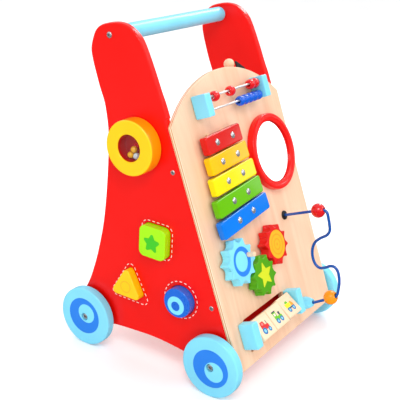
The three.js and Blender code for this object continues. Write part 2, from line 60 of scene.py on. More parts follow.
def at(T, a=0.0, b=0.0, c=0.0, turn=0.0):
    """T moved to (a, b, c) and turned about its third axis, in degrees."""
    k, j = math.cos(math.radians(turn)), math.sin(math.radians(turn))
    return lambda x, y, z: T(a + x * k - y * j, b + x * j + y * k, c + z)


def facing(sign, x0, y, z):
    """Local third axis points along sign * X away from x0."""
    return lambda a, b, c: flat(x0 + sign * c, y + a, z + b)


def in_x(T, x=0.0, s=0.0, h=0.0):
    """A turned piece whose axis (third coordinate) lies along X of frame T."""
    return lambda a, b, c: T(x + c, s + a, h + b)


# ------------------------------------------------------------------ outlines
def circle(cx, cy, r, n=64, a0=0.0):
    return [(cx + r * math.cos(a0 + 2 * math.pi * i / n), cy + r * math.sin(a0 + 2 * math.pi * i / n)) for i in range(n)]


def fillet(points, radii, n=6, closed=True):
    """Rounds each corner of a polyline; radii is one number or one a point."""
    N, out = len(points), []
    if not hasattr(radii, "__len__"):
        radii = [radii] * N
    for i, (cx, cy) in enumerate(points):
        if radii[i] <= 0 or (not closed and i in (0, N - 1)):
            out.append((cx, cy))
            continue
        p, q = Vector(points[i - 1]), Vector(points[(i + 1) % N])
        c = Vector((cx, cy))
        u, v = (p - c), (q - c)
        lu, lv = u.length, v.length
        u.normalize(); v.normalize()
        dot = max(-1.0, min(1.0, u.dot(v)))
        half = math.acos(dot) / 2
        if half > math.pi / 2 - 0.01:
            out.append((cx, cy))
            continue
        d = radii[i] / math.tan(half)
        d = min(d, lu * 0.49, lv * 0.49)
        r = d * math.tan(half)
        m = (u + v).normalized() * (r / math.sin(half))
        o = c + m
        a = c + u * d - o
        b = c + v * d - o
        a0 = math.atan2(a.y, a.x)
        a1 = math.atan2(b.y, b.x)
        while a1 - a0 > math.pi:
            a1 -= 2 * math.pi
        while a1 - a0 < -math.pi:
            a1 += 2 * math.pi
        for k in range(n + 1):
            t = a0 + (a1 - a0) * k / n
            out.append((o.x + r * math.cos(t), o.y + r * math.sin(t)))
    return out


def smooth_run(points, per=5):
    """Catmull-Rom through an open run of points."""
    out = []
    P = [Vector(p) for p in points]
    for i in range(len(P) - 1):
        a, b, c, d = P[max(i - 1, 0)], P[i], P[i + 1], P[min(i + 2, len(P) - 1)]
        for k in range(per):
            t = k / per
            out.append(tuple(0.5 * ((2 * b) + (c - a) * t + (2 * a - 5 * b + 4 * c - d) * t * t + (3 * b - a - 3 * c + d) * t ** 3)))
    out.append(tuple(P[-1]))
    return out


def area2(pts):
    return sum(pts[i - 1][0] * pts[i][1] - pts[i][0] * pts[i - 1][1] for i in range(len(pts)))


def inset(pts, d):
    """Moves a closed outline to its left by d."""
    if abs(d) < 1e-9:
        return list(pts)
    out, N = [], len(pts)
    for i in range(N):
        p, c, q = Vector(pts[i - 1]), Vector(pts[i]), Vector(pts[(i + 1) % N])
        e, f = (c - p).normalized(), (q - c).normalized()
        n1, n2 = Vector((-e.y, e.x)), Vector((-f.y, f.x))
        m = n1 + n2
        if m.length < 1e-6:
            m = n1
        m.normalize()
        out.append(tuple(c + m * (d / max(0.5, m.dot(n1)))))
    return out


def star(cx, cy, R, r, turn=90.0, soft=1.0, n=3):
    pts = []
    for i in range(10):
        a = math.radians(turn + 36 * i)
        k = R if i % 2 == 0 else r
        pts.append((cx + k * math.cos(a), cy + k * math.sin(a)))
    return fillet(pts, [soft if i % 2 == 0 else soft * 0.7 for i in range(10)], n)


def rect(x0, y0, x1, y1, r=0.0, n=6):
    p = [(x0, y0), (x1, y0), (x1, y1), (x0, y1)]
    return fillet(p, r, n) if r else p


# ------------------------------------------------------------------ mesh builder
class Piece:
    def __init__(self):
        self.v, self.f, self.m, self.mats = [], [], [], []

    def add(self, verts, faces, mat):
        if mat not in self.mats:
            self.mats.append(mat)
        k, b = self.mats.index(mat), len(self.v)
        self.v += [tuple(p) for p in verts]
        self.f += [tuple(b + i for i in f) for f in faces]
        self.m += [k] * len(faces)
        return self

    def slab(self, outlines, z0, z1, mat, T, bevel=0.0, steps=4, edge=None, bottom=True):
        """A plate from closed outlines (first outer, the rest holes) with rounded edges."""
        if not isinstance(outlines[0][0], (tuple, list, Vector)):
            outlines = [outlines]
        bevels = bevel if hasattr(bevel, "__len__") else [bevel] * len(outlines)
        rings, rim = [], []
        loops = []
        for k, o in enumerate(outlines):
            o = list(o)
            if (area2(o) > 0) != (k == 0):
                o.reverse()
            loops.append(o)
        levels = []
        for o, bv in zip(loops, bevels):
            lv = []
            bv = min(bv, (z1 - z0) / 2)
            st = steps if bv > 0 else 0
            if bottom:
                for i in range(st + 1):
                    a = math.pi / 2 * i / st if st else math.pi / 2
                    lv.append((bv * (1 - math.sin(a)), z0 + bv * (1 - math.cos(a))))
            else:
                lv.append((0.0, z0))
            for i in range(st + 1):
                a = math.pi / 2 * i / st if st else 0
                lv.append((bv * (1 - math.cos(a)), z1 - bv * (1 - math.sin(a))))
            clean = []
            for q in lv:
                if not clean or abs(q[0] - clean[-1][0]) + abs(q[1] - clean[-1][1]) > 1e-7:
                    clean.append(q)
            levels.append(clean)
        verts, top_idx, bot_idx, tops, bots = [], [], [], [], []
        wall = []
        for o, lv in zip(loops, levels):
            N = len(o)
            start = len(verts)
            for d, z in lv:
                for (x, y) in inset(o, d):
                    verts.append(T(x, y, z))
            for r in range(len(lv) - 1):
                for i in range(N):
                    j = (i + 1) % N
                    a, b = start + r * N, start + (r + 1) * N
                    wall.append((a + i, a + j, b + j, b + i))
            bot_idx += [start + i for i in range(N)]
            top_idx += [start + (len(lv) - 1) * N + i for i in range(N)]
            bots.append([Vector((*p, 0)) for p in inset(o, lv[0][0])])
            tops.append([Vector((*p, 0)) for p in inset(o, lv[-1][0])])
        cap = [tuple(top_idx[i] for i in t) for t in tessellate_polygon(tops)]
        cap2 = [tuple(bot_idx[i] for i in reversed(t)) for t in tessellate_polygon(bots)]
        if edge is None:
            self.add(verts, wall + cap + cap2, mat)
        else:
            self.add(verts, wall, edge)
            k, b = (self.mats.index(mat) if mat in self.mats else None), len(self.v) - len(verts)
            if k is None:
                self.mats.append(mat)
                k = len(self.mats) - 1
            self.f += [tuple(b + i for i in f) for f in cap + cap2]
            self.m += [k] * (len(cap) + len(cap2))
        return self

    def lathe(self, profile, mat, T, n=64, radii=None, seg=5, mats=None):
        """Turned about the third axis from (radius, height) pairs; open profiles start and end on the axis."""
        closed = profile[0][0] > 1e-6
        pts = fillet(profile, radii if radii is not None else 0, seg, closed) if radii is not None else list(profile)
        rows, verts, faces = [], [], []
        for (r, z) in pts:
            if r < 1e-6:
                rows.append([len(verts)])
                verts.append(T(0, 0, z))
            else:
                rows.append(list(range(len(verts), len(verts) + n)))
                verts += [T(r * math.cos(2 * math.pi * i / n), r * math.sin(2 * math.pi * i / n), z) for i in range(n)]
        M = len(rows)
        tags = []
        for k in range(M if closed else M - 1):
            A, B = rows[k], rows[(k + 1) % M]
            if len(A) == 1 and len(B) == 1:
                continue
            for i in range(n):
                j = (i + 1) % n
                if len(A) == 1:
                    faces.append((A[0], B[i], B[j]))
                elif len(B) == 1:
                    faces.append((A[i], A[j], B[0]))
                else:
                    faces.append((A[i], A[j], B[j], B[i]))
                tags.append((pts[k], pts[(k + 1) % M]))
        if mats is None:
            return self.add(verts, faces, mat)
        self.add(verts, faces, mat)
        for q, (p0, p1) in enumerate(tags):
            other = mats((p0[0] + p1[0]) / 2, (p0[1] + p1[1]) / 2)
            if other is not None:
                if other not in self.mats:
                    self.mats.append(other)
                self.m[len(self.m) - len(tags) + q] = self.mats.index(other)
        return self

    def tube(self, path, r, mat, n=20, cap=True):
        P = [Vector(p) for p in path]
        verts, faces = [], []
        t = (P[1] - P[0]).normalized()
        u = t.orthogonal().normalized()
        for i, p in enumerate(P):
            t2 = (P[min(i + 1, len(P) - 1)] - P[max(i - 1, 0)]).normalized()
            q = t.rotation_difference(t2)
            u = (q @ u).normalized()
            t = t2
            w = t.cross(u)
            for k in range(n):
                a = 2 * math.pi * k / n
                verts.append(p + u * (r * math.cos(a)) + w * (r * math.sin(a)))
        for i in range(len(P) - 1):
            for k in range(n):
                j = (k + 1) % n
                faces.append((i * n + k, i * n + j, (i + 1) * n + j, (i + 1) * n + k))
        if cap:
            faces.append(tuple(reversed(range(n))))
            faces.append(tuple(range((len(P) - 1) * n, len(P) * n)))
        return self.add(verts, faces, mat)

    def make(self, name, body, *nodes, sharp=35.0):
        me = bpy.data.meshes.new(name)
        me.from_pydata(self.v, [], self.f)
        for m in self.mats:
            me.materials.append(m)
        me.polygons.foreach_set("material_index", self.m)
        bm = bmesh.new()
        bm.from_mesh(me)
        bmesh.ops.remove_doubles(bm, verts=bm.verts, dist=1e-8)
        bmesh.ops.recalc_face_normals(bm, faces=bm.faces)
        bm.to_mesh(me)
        bm.free()
        me.shade_smooth()
        me.set_sharp_from_angle(angle=math.radians(sharp))
        ob = bpy.data.objects.new(name, me)
        bpy.context.scene.collection.objects.link(ob)
        wn = ob.modifiers.new("normals", "WEIGHTED_NORMAL")
        wn.keep_sharp = True
        wn.weight = 90
        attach(ob, body)
        if nodes:
            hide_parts(*nodes)
        return ob


# ------------------------------------------------------------------ materials
def lin(r, g, b):
    def f(c):
        c /= 255
        return c / 12.92 if c <= 0.04045 else ((c + 0.055) / 1.055) ** 2.4
    return (f(r), f(g), f(b), 1.0)


class Nodes:
    def __init__(self, name):
        self.mat = bpy.data.materials.new(name)
        self.mat.use_nodes = True
        self.t = self.mat.node_tree
        self.b = self.t.nodes["Principled BSDF"]
        self.coord = self.t.nodes.new("ShaderNodeTexCoord").outputs["Object"]

    def new(self, kind, **k):
        n = self.t.nodes.new(kind)
        for a, v in k.items():
            setattr(n, a, v)
        return n

    def link(self, a, b):
        self.t.links.new(a, b)

    def put(self, socket, v):
        if hasattr(v, "is_linked") or hasattr(v, "node"):
            self.link(v, socket)
        else:
            socket.default_value = v

    def stretch(self, scale, vec=None):
        n = self.new("ShaderNodeVectorMath", operation="MULTIPLY")
        self.link(vec or self.coord, n.inputs[0])
        n.inputs[1].default_value = scale
        return n.outputs[0]

    def noise(self, scale, detail=3.0, rough=0.5, vec=None, distortion=0.0):
        n = self.new("ShaderNodeTexNoise")
        self.link(vec or self.coord, n.inputs["Vector"])
        n.inputs["Scale"].default_value = scale
        n.inputs["Detail"].default_value = detail
        n.inputs["Roughness"].default_value = rough
        n.inputs["Distortion"].default_value = distortion
        return n.outputs["Fac"]

    def remap(self, v, a, b, c, d):
        n = self.new("ShaderNodeMapRange")
        self.link(v, n.inputs["Value"])
        for k, x in zip(("From Min", "From Max", "To Min", "To Max"), (a, b, c, d)):
            n.inputs[k].default_value = x
        return n.outputs["Result"]

    def math(self, op, a, b=0.0, clamp=False):
        n = self.new("ShaderNodeMath", operation=op, use_clamp=clamp)
        self.put(n.inputs[0], a)
        self.put(n.inputs[1], b)
        return n.outputs[0]

    def mix(self, fac, a, b, blend="MIX"):
        n = self.new("ShaderNodeMix", data_type="RGBA", blend_type=blend)
        self.put(n.inputs[0], fac)
        self.put(n.inputs[6], a)
        self.put(n.inputs[7], b)
        return n.outputs[2]

    def dot(self, vec, axis):
        n = self.new("ShaderNodeVectorMath", operation="DOT_PRODUCT")
        self.link(vec, n.inputs[0])
        n.inputs[1].default_value = axis
        return n.outputs["Value"]

    def combine(self, x, y, z):
        n = self.new("ShaderNodeCombineXYZ")
        for s, v in zip(n.inputs, (x, y, z)):
            self.put(s, v)
        return n.outputs[0]

    def bump(self, height, strength, distance, normal=None):
        n = self.new("ShaderNodeBump")
        n.inputs["Strength"].default_value = strength
        n.inputs["Distance"].default_value = distance
        self.link(height, n.inputs["Height"])
        if normal is not None:
            self.link(normal, n.inputs["Normal"])
        return n.outputs["Normal"]

    # pointiness mask of convex edges, used for the painted edge highlight in painted()
    def edges(self, lo=0.52, hi=0.60):
        g = self.new("ShaderNodeNewGeometry")
        return self.remap(g.outputs["Pointiness"], lo, hi, 0.0, 1.0)


def painted(name, rgb, rough=0.30, coat=0.35, grain=(1, 1, 0.06), depth=0.00006, light=1.22, dark=0.86, spec=0.34):
    """Sprayed lacquer on sanded beech: slight random tone variation, orange peel, the grain showing faintly through,
    and convex edges painted lighter as a painted highlight (light sets how strong it is).
    """
    k = Nodes(name)
    base = lin(*rgb)
    broad = k.noise(9.0, 2.0)
    fine = k.noise(140.0, 3.0, 0.6)
    lo = tuple(min(1, c * dark) for c in base[:3]) + (1,)
    hi = tuple(min(1, c * light + 0.004) for c in base[:3]) + (1,)
    col = k.mix(k.remap(broad, 0.32, 0.68, 0.0, 1.0), lo, base)
    gr = k.noise(420.0, 3.0, 0.55, k.stretch(grain), 0.3)
    col = k.mix(k.remap(gr, 0.30, 0.70, 0.0, 0.10), col, lo)
    # painted highlight: convex edges found by pointiness are lightened toward hi, where light would catch the rounded
    # lacquer edges
    col = k.mix(k.math("MULTIPLY", k.edges(), 0.45), col, hi)
    k.link(col, k.b.inputs["Base Color"])
    k.link(k.math("ADD", k.remap(fine, 0.3, 0.7, rough - 0.006, rough + 0.008), k.remap(broad, 0.35, 0.65, -0.012, 0.016)), k.b.inputs["Roughness"])
    peel = k.bump(k.noise(260.0, 2.0), 0.10, depth)
    k.link(k.bump(gr, 0.05, depth, peel), k.b.inputs["Normal"])
    k.b.inputs["Specular IOR Level"].default_value = spec
    k.b.inputs["Coat Weight"].default_value = coat
    k.b.inputs["Coat Roughness"].default_value = 0.07
    return k.mat


def timber(name, light=(255, 218, 184), dark=(236, 184, 138), u=(1, 0, 0), v=(0, SL, CL), w=(0, -CL, SL), ply=False, rough=0.42, scale=1.0, face_half=None):
    """Varnished pale wood: growth bands along v, pores, broad tone changes; with ply layers on the edges of a board."""
    k = Nodes(name)
    a, b, c = k.dot(k.coord, u), k.dot(k.coord, v), k.dot(k.coord, w)
    along = k.combine(k.math("MULTIPLY", a, 34.0 * scale), k.math("MULTIPLY", b, 2.6 * scale), k.math("MULTIPLY", c, 34.0 * scale))
    bands = k.noise(1.0, 4.0, 0.6, along, 0.6)
    pores = k.noise(1.0, 3.0, 0.7, k.combine(k.math("MULTIPLY", a, 900.0), k.math("MULTIPLY", b, 38.0), k.math("MULTIPLY", c, 900.0)))
    broad = k.noise(5.0, 2.0, 0.5)
    L, D = lin(*light), lin(*dark)
    mid = tuple((p + q) / 2 for p, q in zip(L, D))
    col = k.mix(k.remap(bands, 0.40, 0.66, 0.0, 0.62), L, D)
    col = k.mix(k.remap(broad, 0.35, 0.7, 0.0, 0.35), col, mid)
    col = k.mix(k.remap(pores, 0.60, 0.78, 0.0, 0.45), col, tuple(x * 0.78 for x in D[:3]) + (1,))
    if ply:
        t = k.new("ShaderNodeTexCoord")
        n = k.dot(t.outputs["Normal"], w)
        edge = k.remap(k.math("ABSOLUTE", n), 0.35, 0.6, 1.0, 0.0)
        layer = k.math("SINE", k.math("MULTIPLY", c, 2 * math.pi / 0.0032))
        stripe = k.mix(k.remap(layer, -0.4, 0.5, 0.0, 1.0), lin(214, 158, 108), lin(255, 232, 202))
        glue = k.remap(k.math("ABSOLUTE", layer), 0.0, 0.16, 0.55, 0.0)
        stripe = k.mix(glue, stripe, lin(150, 96, 60))
        stripe = k.mix(k.remap(pores, 0.5, 0.8, 0.0, 0.5), stripe, lin(190, 140, 96))
        col = k.mix(edge, col, stripe)
    k.link(col, k.b.inputs["Base Color"])
    k.link(k.remap(pores, 0.35, 0.75, rough - 0.06, rough + 0.12), k.b.inputs["Roughness"])
    k.link(k.bump(pores, 0.30, 0.00009, k.bump(bands, 0.25, 0.00012)), k.b.inputs["Normal"])
    k.b.inputs["Coat Weight"].default_value = 0.18
    k.b.inputs["Coat Roughness"].default_value = 0.28
    return k.mat


def metal(name, rgb=(205, 207, 210), rough=0.24, brushed=(1, 1, 1), metallic=1.0):
    k = Nodes(name)
    s = k.noise(520.0, 4.0, 0.6, k.stretch(brushed))
    col = k.mix(k.remap(s, 0.35, 0.7, 0.0, 0.6), lin(*rgb), lin(*(c * 0.72 for c in rgb)))
    k.link(col, k.b.inputs["Base Color"])
    k.b.inputs["Metallic"].default_value = metallic
    k.link(k.remap(s, 0.3, 0.7, rough - 0.06, rough + 0.08), k.b.inputs["Roughness"])
    k.link(k.bump(s, 0.2, 0.00004), k.b.inputs["Normal"])
    return k.mat


def plastic(name, rgb, rough=0.35, coat=0.0, spec=0.5, grainy=0.35, alpha=1.0):
    k = Nodes(name)
    n1, n2 = k.noise(30.0, 2.0), k.noise(1400.0, 2.0)
    base = lin(*rgb)
    col = k.mix(k.remap(n1, 0.3, 0.7, 0.0, 0.5), base, tuple(c * 0.84 for c in base[:3]) + (1,))
    k.link(col, k.b.inputs["Base Color"])
    k.link(k.remap(n1, 0.3, 0.7, max(0.02, rough - 0.05), rough + 0.07), k.b.inputs["Roughness"])
    k.link(k.bump(n2, grainy, 0.00004), k.b.inputs["Normal"])
    k.b.inputs["Coat Weight"].default_value = coat
    if alpha < 1:
        k.b.inputs["Alpha"].default_value = alpha
    return k.mat


RED = painted("red_lacquer", (248, 10, 2), 0.30, 0.16, light=1.2, spec=0.22)
# the drum well's real red, painted deeper as painted shade inside the cavity
DRUM_WELL_SHADE = painted("red_drum_well_painted_shade", (196, 8, 4), 0.5, 0.0)
RED_GEAR = painted("red_gear_lacquer", (232, 12, 6), 0.34, 0.1)
LIGHT_BLUE = painted("light_blue_lacquer", (132, 224, 252), 0.36, 0.18)
MID_BLUE = painted("mid_blue_lacquer", (28, 124, 226), 0.32, 0.25)
DEEP_BLUE = painted("deep_blue_lacquer", (16, 104, 216), 0.27, 0.4)
BEAD_BLUE = painted("bead_blue_lacquer", (0, 92, 214), 0.20, 0.6)
BEAD_RED = painted("bead_red_lacquer", (226, 8, 18), 0.20, 0.6)
YELLOW = painted("yellow_lacquer", (255, 206, 0), 0.30, 0.3, dark=0.92)
# the drum's yellow side wall coloured amber: painted shade on the side turned away from the light
DRUM_SIDE_SHADE = painted("drum_side_painted_shade", (255, 158, 0), 0.30, 0.3)
LIME = painted("lime_lacquer", (166, 240, 0), 0.30, 0.3, dark=0.92)
GREEN = painted("green_lacquer", (92, 186, 0), 0.28, 0.35)
STAR_GREEN = painted("star_green_print", (58, 192, 26), 0.36, 0.1)
GEAR_GREEN = painted("gear_green_lacquer", (82, 168, 0), 0.30, 0.3)
STAR_YELLOW = painted("star_yellow_print", (204, 214, 16), 0.36, 0.1)
ORANGE = painted("orange_lacquer", (255, 152, 0), 0.24, 0.45)
DISC_ORANGE = painted("disc_orange_print", (255, 176, 10), 0.36, 0.1)
DISC_ORANGE2 = painted("disc_orange_ring_print", (253, 156, 2), 0.36, 0.1)
# light=1.5 gives the red bar a stronger painted highlight on its rounded edges
BAR_RED = painted("bar_red_lacquer", (214, 20, 12), 0.16, 0.3, spec=0.2, light=1.5)
BAR_AMBER = painted("bar_amber_lacquer", (255, 190, 0), 0.16, 0.3, spec=0.2)
BAR_YELLOW = painted("bar_yellow_lacquer", (252, 228, 0), 0.16, 0.3, spec=0.2)
BAR_GREEN = painted("bar_green_lacquer", (104, 190, 0), 0.16, 0.35, spec=0.2)
BAR_BLUE = painted("bar_blue_lacquer", (0, 122, 232), 0.16, 0.3, spec=0.2)
PRINT_WHITE = painted("white_print", (255, 214, 206), 0.42, 0.05, dark=0.9)
PRINT_LIGHT = painted("light_blue_print", (122, 214, 250), 0.38, 0.1)
WOOD = timber("panel_plywood", (250, 208, 176), (228, 176, 136), ply=True)
CUBE_WOOD = timber("cube_wood", (252, 220, 186), (236, 190, 146), v=(1, 0, 0), u=(0, SL, CL), scale=1.6)
RAIL_WOOD = timber("rail_wood", (246, 208, 168), (222, 170, 122), v=(1, 0, 0), u=(0, SL, CL), scale=1.4)
STICK_WOOD = timber("stick_wood", (252, 218, 184), (232, 184, 140), scale=1.8)
STEEL = metal("zinc_steel", (232, 232, 234), 0.2, (1, 1, 1), 0.8)
ROD_STEEL = metal("polished_rod", (252, 252, 252), 0.34, (0.05, 1, 1), 0.55)
DARK = plastic("socket_shadow", (34, 32, 34), 0.6)
BLACK = plastic("black_plastic", (22, 22, 26), 0.42)
WIRE = painted("wire_coating", (14, 84, 172), 0.22, 0.6, depth=0.00003)
WINDOW = plastic("clear_window", (120, 126, 130), 0.06, 0.0, grainy=0.02, alpha=0.06)
BALL_YELLOW = plastic("ball_yellow", (255, 196, 20), 0.2, 0.4, grainy=0.1)
BALL_WHITE = plastic("ball_white", (222, 238, 244), 0.2, 0.4, grainy=0.1)
PIC_RED = painted("picture_red", (214, 34, 34), 0.45, 0.0)
PIC_PINK = painted("picture_pink", (248, 120, 116), 0.45, 0.0)
PIC_GREEN = painted("picture_green", (104, 190, 34), 0.45, 0.0)
PIC_DARK = painted("picture_dark", (44, 66, 84), 0.45, 0.0)
PIC_YELLOW = painted("picture_yellow", (250, 226, 30), 0.45, 0.0)
PIC_BLUE = painted("picture_blue", (40, 110, 170), 0.45, 0.0)
PIC_SKY = painted("picture_sky", (130, 200, 236), 0.45, 0.0)
PIC_ORANGE = painted("picture_orange", (250, 160, 40), 0.45, 0.0)


def mirror_material():
    k = Nodes("mirror_face")
    n = k.noise(14.0, 3.0)
    col = k.mix(k.remap(n, 0.3, 0.7, 0.0, 1.0), lin(252, 253, 254), lin(240, 243, 246))
    k.link(col, k.b.inputs["Base Color"])
    k.b.inputs["Metallic"].default_value = 1.0
    k.link(k.remap(n, 0.35, 0.75, 0.03, 0.09), k.b.inputs["Roughness"])
    k.link(k.bump(n, 0.05, 0.0003), k.b.inputs["Normal"])
    return k.mat


MIRROR = mirror_material()

# ------------------------------------------------------------------ dimensions shared with the frame
HALF, SIDE_T, GAP = 140.4, 11.4, 0.3
PANEL_T = 8.15
BACK = -(PANEL_T + GAP)
FRONT_Y, REAR_Y, AXLE_Z, LOBE_R = -186.7, 35.9, 45.0, 27.0
HANDLE_Y, HANDLE_Z, HANDLE_R = 10.7, 466.0, 11.0
DRUM_Y, DRUM_Z = -42.1, 326.7


def on(s, h):
    return (PY + s * SL - h * CL, s * CL + h * SL)


def arc(cy, cz, r, a, b, n):
    return [(cy + r * math.cos(math.radians(a + (b - a) * i / n)), cz + r * math.sin(math.radians(a + (b - a) * i / n))) for i in range(n + 1)]


def screw(p, T, r=4.2, h=1.9, kind="cross", metal_=None):
    """A domed head with its driver recess, standing on the plane z = 0 of T."""
    m = metal_ or STEEL
    q = r * (0.30 if kind == "cross" else 0.40)
    rim = [(r * math.cos(a), h * (0.15 + 0.85 * math.sin(a))) for a in (math.pi / 2 * i / 10 for i in range(11)) if r * math.cos(a) > q + 0.1]
    top = h * (0.15 + 0.85 * math.sin(math.acos(q / r)))
    p.lathe([(q, 0), (r, 0)] + rim + [(q + 0.05, top)], m, T, 36)
    if kind == "hex":
        p.slab([circle(0, 0, q * 1.05, 30), circle(0, 0, q * 0.80, 6)], 0.02, top - 0.12, m, T)
    else:
        k, w = q * 0.95, q * 0.30
        cross = [(k, -w), (k, w), (w, w), (w, k), (-w, k), (-w, w), (-k, w), (-k, -w), (-w, -w), (-w, -k), (w, -k), (w, -w)]
        p.slab([circle(0, 0, q * 1.05, 30), cross], 0.02, top - 0.06, m, T)
    p.slab([circle(0, 0, q, 20)], 0.03, top * 0.4, DARK if kind == "hex" else m, T)
    return p


# ------------------------------------------------------------------ side panels
back_edge = smooth_run([
    (55, 70), (50, 83), (43, 98), (37, 115), (31, 135), (25, 160), (20, 185), (17, 205),
    (14.5, 230), (13, 250), (11.5, 280), (11, 300), (11, 320), (12, 340), (16, 363), (20, 377), (27, 393),
    (34, 412), (40, 430), (42.5, 445), (38, 463), (32.5, 472.0), (24, 478), (10, 482.5), (-5, 484.0), (-20, 481), (-35, 471),
    (-45, 457), (-60, 427), (-70, 405), (-78, 389)], 4)
front_edge = fillet([(-78, 389), on(402.4, -6.2), on(401.6, BACK), on(58, BACK), (-212, 52)], [0, 2.5, 2.0, 5, 0], 4, closed=False)[1:-1]
belly = smooth_run([(-160.2, 37.0), (-150, 37.6), (-130, 40.3), (-100, 43.2), (-80, 44), (-60, 43.4), (-20, 40.4), (-3, 38.2), (8, 37)], 4)
outline = back_edge + front_edge + arc(FRONT_Y, AXLE_Z, LOBE_R, 170, 338, 22) + belly[2:-2] + arc(REAR_Y, AXLE_Z, LOBE_R, 202, 390, 24)
outline = [p for i, p in enumerate(outline) if (Vector(p) - Vector(outline[i - 1])).length > 0.4]

SQ = dict(y=-77.5, z=196.5, w=44.0, h=46.0, r=9.0)
TRI = dict(y=-34.5, z=115.6, side=55.0, r=6.0)
RND = dict(y=-123.0, z=119.3, r=21.5)


def square_outline(g):
    return rect(SQ["y"] - SQ["w"] / 2 - g, SQ["z"] - SQ["h"] / 2 - g, SQ["y"] + SQ["w"] / 2 + g, SQ["z"] + SQ["h"] / 2 + g, SQ["r"] + g, 8)


def tri_outline(g):
    R = TRI["side"] / math.sqrt(3) + 2 * g
    return fillet([(TRI["y"] + R * math.cos(math.radians(d)), TRI["z"] + R * math.sin(math.radians(d))) for d in (90, 210, 330)], TRI["r"] + g, 10)


def dashes(p, pts, x, mat, dash=4.3, gap=3.6, width=1.15, thick=0.14, sign=-1):
    """Printed dashes along a closed outline on the side panel's outer face."""
    loop = [Vector(q) for q in pts] + [Vector(pts[0])]
    L = [0.0]
    for a, b in zip(loop, loop[1:]):
        L.append(L[-1] + (b - a).length)
    n = max(3, round(L[-1] / (dash + gap)))
    k = L[-1] / n / (dash + gap)

    def along(d):
        d %= L[-1]
        for i in range(len(L) - 1):
            if L[i + 1] >= d:
                t = (d - L[i]) / max(1e-9, L[i + 1] - L[i])
                return loop[i].lerp(loop[i + 1], t), (loop[i + 1] - loop[i]).normalized()
        return loop[-1], (loop[-1] - loop[-2]).normalized()
    for j in range(n):
        d0 = j * (dash + gap) * k
        left, right = [], []
        for q in range(5):
            c, t = along(d0 + dash * k * q / 4)
            nrm = Vector((-t.y, t.x)) * (width / 2)
            left.append(tuple(c + nrm)); right.append(tuple(c - nrm))
        o = fillet(left + right[::-1], [0.4 if i in (0, 4, 5, 9) else 0 for i in range(10)], 2)
        p.slab([o], -0.05, thick, mat, lambda a, b, c: flat(x + sign * c, a, b))


rivets = [on(332.8, -19.7), on(141.1, -18.6)]
for name, sign in (("right_side_panel", -1), ("left_side_panel", 1)):
    p = Piece()
    holes = [circle(FRONT_Y, AXLE_Z, 3.45, 24), circle(REAR_Y, AXLE_Z, 3.45, 24)] + [circle(y, z, 2.9, 16) for y, z in rivets + [(HANDLE_Y, HANDLE_Z)]]
    bev = [2.6] + [0.2] * 5
    if sign < 0:
        holes += [square_outline(0.35), tri_outline(0.35), circle(RND["y"], RND["z"], RND["r"] + 0.4, 64)]
        bev += [0.9, 0.9, 0.9]
    x0, x1 = (-HALF, -HALF + SIDE_T) if sign < 0 else (HALF - SIDE_T, HALF)
    p.slab([outline] + holes, x0, x1, RED, side, bevel=bev, steps=5)
    if sign < 0:
        p.lathe([(0, -1), (4.0, -1), (4.0, 5.2), (3.2, 6.0), (0, 6.0)], RED, facing(-1, -HALF, DRUM_Y, DRUM_Z), 24)
        dashes(p, rect(-103.6, 171.2, -51.8, 223.2, 11, 8), -HALF, PRINT_WHITE)
        dashes(p, fillet([(-71.5, 90.2), (3.0, 90.2), (-34.2, 155.5)], 8, 8), -HALF, PRINT_WHITE)
        dashes(p, circle(RND["y"] + 0.6, RND["z"] + 0.5, 27.3, 72), -HALF, PRINT_WHITE)
    p.make(name + "_board", "root", name)

# ------------------------------------------------------------------ activity panel
sag = 447 - 391
R = (HALF * HALF + sag * sag) / (2 * sag)
half = math.asin(HALF / R)
arch = [(R * math.sin(half - 2 * half * i / 72), 447 - R + R * math.cos(half - 2 * half * i / 72)) for i in range(73)]
panel = fillet([(-HALF, 44.1), (HALF, 44.1)] + arch, [2.0, 2.0, 9] + [0] * 71 + [9], 6)
p = Piece()
p.slab([panel, rect(-104, 60.2, 7.6, 107.8, 2.5, 5), circle(67, 208, 5.3, 32)], -PANEL_T, 0, WOOD, slope, bevel=[1.2, 0.7, 0.4], steps=4)
for gx, gs in ((-91.6, 187.9), (-46.5, 152.2), (3.0, 181.4)):
    p.lathe([(0, -0.5), (5.0, -0.5), (5.0, 11.4), (4.4, 12), (0, 12)], STICK_WOOD, at(slope, gx, gs), 24)
p.make("panel_board", "root", "front_panel")

# ------------------------------------------------------------------ handle and cross rails
IN = HALF - SIDE_T - GAP
OUT = HALF + 0.05
p = Piece()
hb = in_x(flat, 0, HANDLE_Y, HANDLE_Z)
p.lathe([(0, -IN), (HANDLE_R, -IN), (HANDLE_R, IN), (0, IN)], LIGHT_BLUE, hb, 64, radii=[0, 1.2, 1.2, 0], seg=4)
for sg in (-1, 1):
    p.lathe([(0, 0), (2.4, 0), (2.4, 12.2), (0, 12.2)], STEEL, facing(sg, sg * (IN - 0.2), HANDLE_Y, HANDLE_Z), 16)
    screw(p, facing(sg, sg * OUT, HANDLE_Y, HANDLE_Z), 4.3, 1.7, "hex")
p.make("handle_round_bar", "root", "handle_bar")

